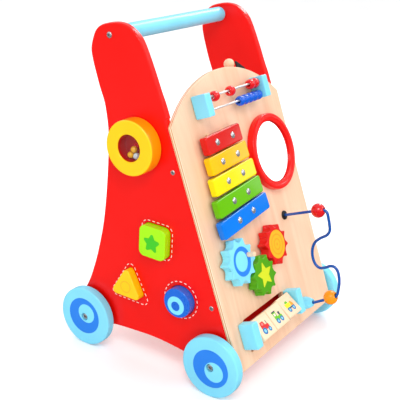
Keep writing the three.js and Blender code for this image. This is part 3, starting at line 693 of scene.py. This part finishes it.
for name, (s, h) in {"upper_cross_rail": (332.8, -19.7), "lower_cross_rail": (141.1, -18.6)}.items():
    p = Piece()
    hole = []
    T = lambda a, b, c, s=s, h=h: slope(c, s + a, h + b)
    if name == "upper_cross_rail":
        # the mallet's stick passes down through this rail
        c0 = -18 - h
        T2 = lambda a, b, c, s=s, h=h: slope(a, s + c, h + b)
        p.slab([rect(-IN, -10, IN, 10, 1.2, 3), circle(54.4, c0, 3.6, 24)], -12, 12, RAIL_WOOD, T2, bevel=[1.3, 0.4])
    else:
        p.slab([fillet([(-12, -1.8), (-12, 10), (12, 10), (12, -10), (52 - s, -10), (52 - s, -1.8)], [1.5, 1.5, 1.5, 1.5, 1.5, 1.5], 4)], -IN, IN, RED, T, bevel=0.8)
    for sg in (-1, 1):
        y, z = on(s, h)
        p.lathe([(0, 0), (2.4, 0), (2.4, 12.2), (0, 12.2)], STEEL, facing(sg, sg * (IN - 0.2), y, z), 16)
        screw(p, facing(sg, sg * OUT, y, z), 3.4, 1.4, "hex")
    p.make(name + "_bar", "root", name)

# ------------------------------------------------------------------ wheels
for end, y, o1, o2 in (("front", FRONT_Y, (-1.43, -0.78), (-7.1, -4.3)), ("rear", REAR_Y, (0.77, 1.45), (-3.5, 6.5))):
    for sd, sg in (("right", -1), ("left", 1)):
        T = facing(sg, sg * 144.2, y, AXLE_Z)
        p = Piece()
        p.lathe([(3.08, 0), (45, 0), (45, 14.8), (5.9, 14.8), (5.9, 11.2), (3.08, 11.2)], LIGHT_BLUE, T, 96, radii=[0, 2.8, 2.8, 0.5, 0.2, 0], seg=6)
        hub = circle(0, 0, 6.1, 48)
        p.slab([circle(*o1, 28.2, 96), hub], 14.75, 14.9, MID_BLUE, T)
        p.slab([circle(*o2, 14.9, 72), hub], 14.76, 15.0, PRINT_LIGHT, T)
        p.make(f"{end}_{sd}_wheel_disc", f"{end}_{sd}_wheel", f"{end}_{sd}_wheel")
        b = Piece()
        B = facing(sg, sg * (HALF - SIDE_T), y, AXLE_Z)
        b.lathe([(0, -4.3), (6, -4.3), (6, -0.3), (3, -0.3), (3, 11.7), (7.5, 11.7), (7.5, 14.9), (3, 14.9), (3, 26.5), (5.5, 26.5), (5.5, 27.4), (0, 27.4)], STEEL, B, 48, radii=[0, 1.2, 0, 0, 0, 0.4, 0.4, 0, 0, 0.3, 0.4, 0], seg=3)
        screw(b, lambda a, c, d, B=B: B(a, c, 27.35 + d), 4.5, 2.3, "hex")
        b.make(f"{end}_{sd}_axle_bolt", "root", f"{end}_{sd}_wheel_bolt")

# ------------------------------------------------------------------ rattle drum
T = facing(-1, -HALF, DRUM_Y, DRUM_Z)
p = Piece()
# amber on the outer rim wall is painted shade on the drum's yellow side
p.lathe([(4.08, 1.2), (16, 1.2), (17, 0.4), (38.3, 0.4), (38.3, 22.7), (18.6, 22.7), (18.6, 4.6), (4.08, 4.6)], YELLOW, T, 112,
        radii=[0, 0, 0, 1.6, 3.2, 1.8, 1.2, 0], seg=7,
        # deeper red on the well walls and floor: painted shade inside the red cavity
        mats=lambda r, z: (DRUM_WELL_SHADE if (r < 18.62 and 4.5 < z < 20.6) else (DRUM_SIDE_SHADE if (r > 37.6 and z < 20.6) else None)))
p.make("drum_ring", "rattle_drum", "rattle_drum")
p = Piece()
p.lathe([(0, 15.6), (18.25, 15.6), (18.25, 17.2), (0, 17.2)], WINDOW, T, 72, radii=[0, 0.3, 0.3, 0], seg=3)
p.make("drum_window", "rattle_drum", "rattle_window")
for i, (dy, dz, m) in enumerate([(-0.4, -3.9, BALL_YELLOW), (4.85, -12.5, BALL_YELLOW), (-4.95, -12.4, BALL_WHITE)]):
    p = Piece()
    prof = []
    for k in range(33):
        a = -math.pi / 2 + math.pi * k / 32
        rr = 4.7 * (0.985 if k == 16 else 1.0)
        prof.append((0.0 if k in (0, 32) else rr * math.cos(a), rr * math.sin(a)))
    p.lathe(prof, m, facing(-1, -HALF - 10.2, DRUM_Y + dy, DRUM_Z + dz), 32)
    p.make(f"drum_ball_{i + 1}", "rattle_balls", f"rattle_ball_{i + 1}")

# ------------------------------------------------------------------ shape blocks
X0, X1 = -HALF - 12, -HALF + SIDE_T + 3
OUTER = lambda a, b, c: flat(X0 - c, a, b)
p = Piece()
p.slab([square_outline(0)], X0, X1, LIME, side, bevel=2.0, steps=5)
p.slab([star(SQ["y"] + 0.2, SQ["z"] - 0.8, 16.2, 8.2, 92, 2.2, 5)], -0.05, 0.16, STAR_GREEN, OUTER)
p.make("square_shape", "square_block", "square_block")
p = Piece()
p.slab([tri_outline(0)], X0, X1, YELLOW, side, bevel=1.8, steps=5, edge=None)
p.slab([circle(TRI["y"], TRI["z"], 9.2, 48), circle(TRI["y"], TRI["z"], 7.6, 48)], -0.05, 0.16, DISC_ORANGE, OUTER)
p.make("triangle_shape", "triangle_block", "triangle_block")
p = Piece()
p.slab([circle(RND["y"], RND["z"], RND["r"], 96)], X0, X1, DEEP_BLUE, side, bevel=1.8, steps=5)
p.slab([circle(RND["y"] + 0.8, RND["z"] - 3.6, 13.6, 64), circle(RND["y"] + 1.2, RND["z"] - 4.6, 7.0, 48)], -0.05, 0.16, PRINT_LIGHT, OUTER)
p.make("round_shape", "round_block", "round_block")

# ------------------------------------------------------------------ abacus
RODS = (414.0, 396.0)
RH = 13.0
for sd, x0, x1 in (("left", -86.6, -73.1), ("right", 66.0, 79.5)):
    p = Piece()
    mouth = x1 if sd == "left" else x0
    T = lambda a, b, c: slope(c, a, b)
    p.slab([rect(388.8, GAP, 420.7, 24.5, 2.2, 5)], x0, x1, LIGHT_BLUE, T, bevel=1.5, steps=4)
    p.make(f"abacus_end_{sd}", "root", f"abacus_block_{sd}")
for i, s in enumerate(RODS):
    p = Piece()
    p.lathe([(0, -73.2), (1.5, -73.2), (1.5, 66.1), (0, 66.1)], ROD_STEEL, in_x(slope, 0, s, RH), 24)
    p.make(f"abacus_wire_{'lower' if i else 'upper'}", "root", f"abacus_rod_{'lower' if i else 'upper'}")
BR, BL = 7.4, 5.9
bead = [(3.05, -BL + 0.5), (3.7, -BL), (4.9, -BL)] + [(4.7 + 2.7 * math.sin(math.pi * (k + 1) / 14), -BL * math.cos(math.pi * (k + 1) / 14)) for k in range(13)] + [(4.9, BL), (3.7, BL), (3.05, BL - 0.5)]
for name, m, xs, s in (("red", BEAD_RED, (-48.5, -7.5, 47.7, 59.8), RODS[0]), ("blue", BEAD_BLUE, (11.4, 23.5, 35.6, 47.7, 59.8), RODS[1])):
    for i, x in enumerate(xs):
        p = Piece()
        p.lathe(bead, m, in_x(slope, x, s - 1.2, RH - 0.3), 48)
        p.make(f"{name}_counter_{i + 1}", f"{name}_bead_{i + 1}", f"{name}_bead_{i + 1}")

# ------------------------------------------------------------------ mirror
p = Piece()
p.lathe([(0, GAP), (57.7, GAP), (57.7, 12.0), (51.2, 12.0), (50.2, 10.9), (46.3, 9.6), (46.3, 4.3), (0, 4.3)], RED, at(slope, 70.9, 306.9), 128,
        radii=[0, 0.8, 4.0, 0.9, 0.6, 0.8, 0, 0], seg=7)
p.make("mirror_ring", "root", "mirror_frame")
p = Piece()
p.lathe([(0, 4.6), (45.8, 4.6), (45.8, 6.6), (0, 6.6)], MIRROR, at(slope, 70.9, 306.9), 128, radii=[0, 0.3, 0.5, 0], seg=3)
p.make("mirror_disc", "root", "mirror_glass")

# ------------------------------------------------------------------ xylophone
LEN = (88.5, 97, 107, 117, 125.5)
SX_ = ((-73.5, -72.6, -71.8, -70.9, -70.1), (-34.0, -33.5, -33.0, -32.6, -32.1))
SCREWS = ((352.9, 325.6, 297.8, 269.2, 240.9), (354.1, 327.3, 299.4, 271.5, 243.8))
LIFT, BT = 4.3, 11.0
for i, (n, m) in enumerate(zip(("red", "orange", "yellow", "green", "blue"), (BAR_RED, BAR_AMBER, BAR_YELLOW, BAR_GREEN, BAR_BLUE))):
    sl, sr, xs, BX = SCREWS[0][i], SCREWS[1][i], (SX_[0][i], SX_[1][i]), (-54.2, -53.0, -52.0, -51.6, -50.2)[i]
    tilt = math.atan2(sr - sl, xs[1] - xs[0])
    cs = sl + (BX - xs[0]) * math.tan(tilt)
    T = at(slope, BX, cs, 0, math.degrees(tilt))
    p = Piece()
    hs = [circle((x - BX) / math.cos(tilt), 0, 2.35, 20) for x in xs]
    p.slab([rect(-LEN[i] / 2, -12.5, LEN[i] / 2, 12.5, 3.4, 6)] + hs, LIFT, LIFT + BT, m, T, bevel=[2.2, 0.3, 0.3], steps=6)
    p.make(f"tone_bar_{n}", "root", f"xylophone_bar_{n}")
for k, (xs, sd) in enumerate(zip(SX_, ("left", "right"))):
    p = Piece()
    p.slab([rect(-4, 229, 4, 366, 1.0, 3)], GAP, LIFT - GAP, RAIL_WOOD, at(slope, xs[2]), bevel=0.5)
    for x, s in zip(xs, SCREWS[k]):
        T = at(slope, x, s)
        p.lathe([(0, 2), (1.8, 2), (1.8, LIFT + BT + 0.4), (0, LIFT + BT + 0.4)], STEEL, T, 16)
        screw(p, at(slope, x, s, LIFT + BT + 0.05, 20 + 37 * (s % 3)), 4.6, 2.2, "cross")
    p.make(f"bar_rail_{sd}", "root", f"xylophone_rail_{sd}")

# ------------------------------------------------------------------ gears
GEARS = {"blue": (-91.6, 187.9, 33, 26, -9.0), "green": (-46.5, 152.2, 29.5, 23.6, -13.8), "red": (3.0, 181.4, 30.4, 24.3, -15.2)}


def gear_outline(tip, root):
    pts, rad = [], []
    for i in range(10):
        for d, k in ((-2.0, 1), (2.0, 1), (6.2, 0.5), (11.4, 0.12), (18, 0), (24.6, 0.12), (29.8, 0.5)):
            a = math.radians(i * 36 + d)
            r = root + (tip - root) * k
            pts.append((r * math.cos(a), r * math.sin(a)))
            rad.append(1.1 if k == 1 else 6.0)
    return fillet(pts, rad, 4)


for n, (x, s, tip, root, phase) in GEARS.items():
    T = at(slope, x, s, 0, phase)
    U = at(slope, x, s, 16.2)
    p = Piece()
    body = {"blue": LIGHT_BLUE, "green": GEAR_GREEN, "red": RED_GEAR}[n]
    p.slab([gear_outline(tip, root)], 12.4, 16.2, body, T, bevel=1.0, steps=4, bottom=False)
    p.slab([gear_outline(tip, root), circle(0, 0, 5.15, 32)], 2.2, 12.4, body, T, bevel=[0.0, 0.2], bottom=False)
    if n == "blue":
        p.slab([circle(0.4, 0.2, 20.6, 72)], -0.05, 0.12, MID_BLUE, U)
        p.slab([circle(-1.4, 0.9, 14.2, 64)], -0.04, 0.22, PRINT_LIGHT, U)
        # short wooden turning peg, its tip rounded over
        tip_arc = [(2.2 + 1.3 * math.cos(math.pi / 2 * i / 8), 26.7 + 1.3 * math.sin(math.pi / 2 * i / 8)) for i in range(9)]
        p.lathe([(0, 15.9), (3.5, 15.9)] + tip_arc + [(0, 28.0)], STICK_WOOD, lambda a, b, c: T(16.6 + a, 7.0 + b, c), 40)
    elif n == "green":
        p.slab([star(0, 0.2, 19.6, 9.4, 92, 1.0, 3)], -0.05, 0.16, STAR_YELLOW, U)
    else:
        p.slab([circle(0.5, 0.0, 20.8, 72)], -0.05, 0.12, DISC_ORANGE, U)
        for ro, ri in ((15.6, 13.4), (8.8, 6.6)):
            p.slab([circle(0.5, 0.0, ro, 64), circle(0.5, 0.0, ri, 56)], 0.08, 0.22, DISC_ORANGE2, U)
        p.slab([circle(0.5, 0.0, 2.2, 32)], 0.08, 0.22, DISC_ORANGE2, U)
    p.make(f"{n}_toothed_disc", f"{n}_gear", f"{n}_gear")

# ------------------------------------------------------------------ bead maze
KX, KS, KH = 59.5, 68.5, 16.0
LEG = 0.165


def leg(h):
    return (KX + 0.009 * h, KS - 0.6 + LEG * (h - KH), h)


WIRE_PTS = [(67, 208, -7.6), (67, 208, 10), (67, 208, 30), (67, 208, 50), (67, 208, 62), (67, 207.9, 66.5), (67, 206.4, 70.8), (67, 202.6, 73.2), (66.9, 196, 73.1), (66.7, 185, 72.2), (66.4, 175.6, 70.2),
            (66.2, 169.6, 64), (66, 166, 52), (65.8, 160.5, 41.5), (65.5, 150.6, 34.4), (65.2, 137, 31.6), (64.8, 126, 33.8), (64.4, 120.6, 39.5), (64, 120.6, 49),
            (63.6, 122.2, 58), (63.2, 120.4, 64.6), (62.8, 114, 68.4), (62.2, 104.5, 68.6), (61.5, 94.5, 66.6), (60.9, 86, 63.2), (60.3, 78.6, 59.6)] + [leg(h) for h in (54.5, 46, 36, 22, 9)]


def centripetal(P, step=1.2):
    P = [Vector(q) for q in P]
    Q = [2 * P[0] - P[1]] + P + [2 * P[-1] - P[-2]]
    out = []
    for i in range(1, len(Q) - 2):
        p0, p1, p2, p3 = Q[i - 1:i + 3]
        t0 = 0.0
        t1 = t0 + (p1 - p0).length ** 0.5
        t2 = t1 + (p2 - p1).length ** 0.5
        t3 = t2 + (p3 - p2).length ** 0.5
        n = max(2, round((p2 - p1).length / step))
        for k in range(n):
            t = t1 + (t2 - t1) * k / n
            a1 = p0 * ((t1 - t) / (t1 - t0)) + p1 * ((t - t0) / (t1 - t0))
            a2 = p1 * ((t2 - t) / (t2 - t1)) + p2 * ((t - t1) / (t2 - t1))
            a3 = p2 * ((t3 - t) / (t3 - t2)) + p3 * ((t - t2) / (t3 - t2))
            b1 = a1 * ((t2 - t) / (t2 - t0)) + a2 * ((t - t0) / (t2 - t0))
            b2 = a2 * ((t3 - t) / (t3 - t1)) + a3 * ((t - t1) / (t3 - t1))
            out.append(b1 * ((t2 - t) / (t2 - t1)) + b2 * ((t - t1) / (t2 - t1)))
    out.append(P[-1])
    return out


p = Piece()
p.tube([slope(*q) for q in centripetal(WIRE_PTS)], 0.0022, WIRE, 24)
p.make("maze_bent_wire", "root", "maze_wire")
p = Piece()
p.lathe([(2.5, -PANEL_T), (4.9, -PANEL_T), (4.9, GAP), (7.2, GAP), (6.6, 2.2), (2.5, 2.6)], BLACK, at(slope, 67, 208), 40, radii=[0.2, 0.3, 0, 0.3, 1.0, 0.5], seg=3)
p.make("maze_grommet_ring", "root", "maze_grommet")
p = Piece()
p.lathe([(2.9, GAP), (9.5, GAP), (9.5, 4.5), (7.9, 10.2), (5.6, 15.6), (2.9, 16.0)], LIGHT_BLUE, at(slope, KX, KS), 64, radii=[0, 0.5, 3.0, 5.0, 1.8, 0.4], seg=6)
p.make("maze_knob_cone", "root", "maze_knob")


def bored_ball(r, hole, n=28):
    a0 = math.asin(hole / r)
    pts = [(r * math.sin(a0 + (math.pi - 2 * a0) * k / n), -r * math.cos(a0 + (math.pi - 2 * a0) * k / n)) for k in range(n + 1)]
    return [(hole * 0.86, pts[0][1] + 1.0)] + pts + [(hole * 0.86, pts[-1][1] - 1.0)]


p = Piece()
p.lathe(bored_ball(10.8, 3.6), BEAD_RED, at(slope, 67, 208, 59.5), 64)
p.make("maze_ball_red", "maze_bead_red", "maze_bead_red")
th = math.atan(LEG)
ox, os_, oh = leg(47.4)
os_ += 1.4
p = Piece()
p.lathe(bored_ball(10.8, 4.4), ORANGE, lambda a, b, c: slope(ox + a, os_ + b * math.cos(th) + c * math.sin(th), oh - b * math.sin(th) + c * math.cos(th)), 64)
p.make("maze_ball_orange", "maze_bead_orange", "maze_bead_orange")

# ------------------------------------------------------------------ picture cubes
for sd, x0, x1 in (("left", -119.6, -104.6), ("right", 8.2, 22.5)):
    p = Piece()
    p.slab([rect(x0, 70, x1, 107, 2.2, 4)], GAP, 24, LIGHT_BLUE, slope, bevel=1.6, steps=4)
    p.make(f"cube_holder_{sd}", "root", f"cube_bracket_{sd}")
p = Piece()
p.lathe([(0, -104.7), (3, -104.7), (3, 8.3), (0, 8.3)], STICK_WOOD, in_x(slope, 0, 84, 5), 32)
p.make("cube_axle", "root", "cube_rod")


def wheel_print(p, T, u, v, r):
    p.slab([circle(u, v, r, 36)], -0.04, 0.16, PIC_BLUE, T)
    p.slab([circle(u, v, r * 0.52, 28)], 0.02, 0.24, PIC_SKY, T)


def picture(p, T, kind):
    """Simple generic vehicles, each from a few flat printed shapes."""
    if kind == 0:        # farm tractor
        p.slab([fillet([(-9, -5.5), (8.5, -5.5), (8.5, 1.0), (1.5, 1.5), (0.5, 7.5), (-7.5, 7.5), (-9, 1)], 0.8, 3)], -0.04, 0.12, PIC_RED, T)
        p.slab([fillet([(-6, 2.2), (-1.2, 2.2), (-1.6, 6), (-5.4, 6)], 0.5, 2)], 0.02, 0.2, PIC_PINK, T)
        p.slab([fillet([(5.4, 1.2), (6.8, 1.2), (6.8, 6.4), (5.4, 6.4)], 0.4, 2)], -0.04, 0.12, PIC_DARK, T)
        wheel_print(p, T, -5.6, -6.0, 4.9)
        wheel_print(p, T, 6.4, -7.4, 3.5)
    elif kind == 1:      # small engine
        p.slab([fillet([(-9, -6), (9, -6), (9, -0.6), (-1.2, -0.6), (-1.2, 7), (-9, 7)], 0.8, 3)], -0.04, 0.12, PIC_GREEN, T)
        p.slab([fillet([(-7.4, 1.2), (-3.0, 1.2), (-3.0, 5.2), (-7.4, 5.2)], 0.5, 2)], 0.02, 0.2, PRINT_WHITE, T)
        p.slab([fillet([(3.4, -0.8), (6.6, -0.8), (7.4, 4.6), (2.6, 4.6)], 0.4, 2)], -0.04, 0.12, PIC_DARK, T)
        p.slab([fillet([(-10, 7.0), (-0.2, 7.0), (-0.2, 8.6), (-10, 8.6)], 0.5, 2)], -0.04, 0.14, PIC_DARK, T)
        wheel_print(p, T, -5.2, -6.8, 3.9)
        wheel_print(p, T, 4.9, -6.8, 3.9)
    elif kind == 2:      # tipper lorry
        p.slab([fillet([(-9.5, -5.6), (9.2, -5.6), (9.2, -3.4), (-9.5, -3.4)], 0.5, 2)], -0.04, 0.12, PIC_DARK, T)
        p.slab([fillet([(-9.5, -3), (2.2, -3), (3.4, 3.4), (-10.5, 3.4)], 0.6, 3)], -0.04, 0.12, PIC_YELLOW, T)
        p.slab([fillet([(3.2, -3.2), (9.4, -3.2), (9.4, 0.6), (7.0, 4.2), (4.2, 4.2)], 0.6, 3)], -0.04, 0.12, PIC_ORANGE, T)
        p.slab([fillet([(-8, 3.6), (1.4, 3.6), (-1.6, 7.6), (-5.4, 6.6)], 1.4, 3)], -0.04, 0.12, PIC_GREEN, T)
        wheel_print(p, T, -5.6, -6.8, 3.8)
        wheel_print(p, T, 5.4, -6.8, 3.8)
    else:                # sail boat
        p.slab([fillet([(-9, -3), (9, -3), (6, -8), (-6.5, -8)], 1.0, 3)], -0.04, 0.12, PIC_BLUE, T)
        p.slab([fillet([(-0.6, -2.6), (-0.6, 9), (-8, -1.4)], 0.5, 2)], -0.04, 0.12, PIC_SKY, T)
        p.slab([fillet([(0.6, -2.6), (0.6, 7.6), (6.6, -1.4)], 0.5, 2)], -0.04, 0.12, PIC_ORANGE, T)


for i, tilt in enumerate((26, 26.5, 33)):
    cx = -48.35 + (i - 1) * 36.7
    p = Piece()
    th0 = math.radians(-tilt)
    C = lambda a, b, c, cx=cx, th0=th0: slope(cx + c, 84 + a * math.cos(th0) - b * math.sin(th0), 5 + a * math.sin(th0) + b * math.cos(th0))
    p.slab([rect(-16.75, -16.75, 16.75, 16.75, 2.2, 6), circle(0, 0, 3.2, 24)], -17.7, 17.7, CUBE_WOOD, C, bevel=[1.4, 0.3], steps=4)
    for q in range(4):
        th = th0 + math.radians(90 * q)
        F = lambda a, b, c, cx=cx, th=th: slope(cx + a, 84 + b * math.cos(th) - (16.75 + c) * math.sin(th), 5 + b * math.sin(th) + (16.75 + c) * math.cos(th))
        picture(p, F, (i + q) % 4)
    p.make(f"picture_block_{i + 1}", f"picture_cube_{i + 1}", f"picture_cube_{i + 1}")

# ------------------------------------------------------------------ mallet and its clip
p = Piece()
p.slab([fillet([(44, 424), (80, 424), (80, 437.2), (72, 442.6), (61.5, 450.2), (59.2, 450.6), (59.2, 438), (44, 438)], [2, 2, 2, 2, 0.8, 0.6, 1, 2], 4)], -11, BACK, BLACK, slope, bevel=0.6)
p.slab([rect(46.4, -26, 62.4, -10.2, 2, 4), circle(54.4, -18, 3.6, 32)], 424, 438, BLACK, lambda a, b, c: slope(a, c, b), bevel=[0.9, 0.3])
p.make("mallet_holder", "root", "mallet_clip")
p = Piece()
r = 8.0
z0 = math.sqrt(r * r - 3.2 * 3.2)
prof = [(0, -130.8), (3.2, -130.8), (3.2, -z0)] + [(0 if k == 24 else r * math.cos(-math.asin(z0 / r) + (math.pi / 2 + math.asin(z0 / r)) * k / 24), r * math.sin(-math.asin(z0 / r) + (math.pi / 2 + math.asin(z0 / r)) * k / 24)) for k in range(1, 25)]
p.lathe(prof, STICK_WOOD, lambda a, b, c: slope(54.4 + a, 448.8 + c, -18 + b), 40)
p.make("mallet_beater", "mallet", "mallet")

# ------------------------------------------------------------------ floor, light, camera
me = bpy.data.meshes.new("floor")
me.from_pydata([(-6, -6, 0), (6, -6, 0), (6, 6, 0), (-6, 6, 0)], [], [(0, 1, 2, 3)])
floor = bpy.data.objects.new("floor", me)
bpy.context.scene.collection.objects.link(floor)
k = Nodes("pale_floor")
n = k.noise(6.0, 3.0)
k.link(k.mix(k.remap(n, 0.3, 0.7, 0.0, 1.0), lin(252, 252, 252), lin(247, 247, 248)), k.b.inputs["Base Color"])
k.link(k.remap(n, 0.3, 0.7, 0.7, 0.8), k.b.inputs["Roughness"])
k.b.inputs["Specular IOR Level"].default_value = 0.0
k.b.inputs["Emission Color"].default_value = (1, 1, 1, 1)
k.b.inputs["Emission Strength"].default_value = 0.10
me.materials.append(k.mat)
floor.visible_glossy = False

WORLD = 0.92
scene = bpy.context.scene
world = bpy.data.worlds.new("studio")
scene.world = world
world.use_nodes = True
wt = world.node_tree
bg = wt.nodes["Background"]
# white surround; what the gloss sees is a darker studio with the soft boxes in it
path = wt.nodes.new("ShaderNodeLightPath")
pick = wt.nodes.new("ShaderNodeMix")
pick.data_type = "FLOAT"
pick.inputs[2].default_value = WORLD
# dim near and below the horizon, brighter overhead
sky = wt.nodes.new("ShaderNodeTexCoord")
parts = wt.nodes.new("ShaderNodeSeparateXYZ")
wt.links.new(sky.outputs["Generated"], parts.inputs[0])
ramp = wt.nodes.new("ShaderNodeMapRange")
wt.links.new(parts.outputs["Z"], ramp.inputs["Value"])
for name_, value in (("From Min", 0.10), ("From Max", 0.34), ("To Min", 0.10), ("To Max", 0.80)):
    ramp.inputs[name_].default_value = value
wt.links.new(ramp.outputs["Result"], pick.inputs[3])
wt.links.new(path.outputs["Is Glossy Ray"], pick.inputs[0])
pick2 = wt.nodes.new("ShaderNodeMix")
pick2.data_type = "FLOAT"
wt.links.new(path.outputs["Is Camera Ray"], pick2.inputs[0])
wt.links.new(pick.outputs[0], pick2.inputs[2])
pick2.inputs[3].default_value = 1.0
wt.links.new(pick2.outputs[0], bg.inputs["Strength"])
bg.inputs["Color"].default_value = (1, 1, 1, 1)
scene.view_settings.view_transform = "Standard"
scene.view_settings.look = "None"


def area(name, place, target, size, power, color=(1, 1, 1)):
    L = bpy.data.lights.new(name, "AREA")
    L.shape = "DISK"
    L.size = size
    L.energy = power
    L.color = color
    o = bpy.data.objects.new(name, L)
    scene.collection.objects.link(o)
    o.location = place
    o.visible_camera = False
    o.rotation_euler = (Vector(target) - Vector(place)).to_track_quat("-Z", "Y").to_euler()
    return o


EYE = Vector((-0.99230, -0.59269, 0.67186))
area("key", (-1.5, -0.9, 2.1), (0, 0, 0.22), 1.0, 20)
area("right", (1.5, -1.5, 1.7), (0, 0, 0.22), 0.8, 5)
area("edge", (1.75, 0.16, 1.65), (0, 0, 0.25), 0.7, 12)
area("front", (-0.3, -2.3, 1.2), (0, 0, 0.22), 0.7, 4)
area("rim", (0.6, 1.8, 1.8), (0, 0, 0.25), 1.2, 8)
# a small white card where the mirror looks
spot = slope(70.9, 306.9, 6.6)
look = (spot - EYE).normalized()
norm = Vector((0, -CL, SL))
away = look - 2 * look.dot(norm) * norm
area("mirror_card", spot + 2.2 * away, spot, 0.36, 0.55)

cam = bpy.data.cameras.new("photo_camera")
cam.sensor_width = 36.0
cam.lens = 836.12 * 36 / 400
co = bpy.data.objects.new("photo_camera", cam)
scene.collection.objects.link(co)
az, el, roll = math.radians(-57.516), math.radians(21.455), math.radians(3.253)
back = Vector((math.sin(az) * math.cos(el), -math.cos(az) * math.cos(el), math.sin(el)))
fwd = -back
right = fwd.cross(Vector((0, 0, 1))).normalized()
up = right.cross(fwd)
R_ = right * math.cos(roll) + up * math.sin(roll)
U_ = -right * math.sin(roll) + up * math.cos(roll)
m = Matrix((R_, U_, -fwd)).transposed().to_4x4()
m.translation = EYE
co.matrix_world = m
scene.camera = co
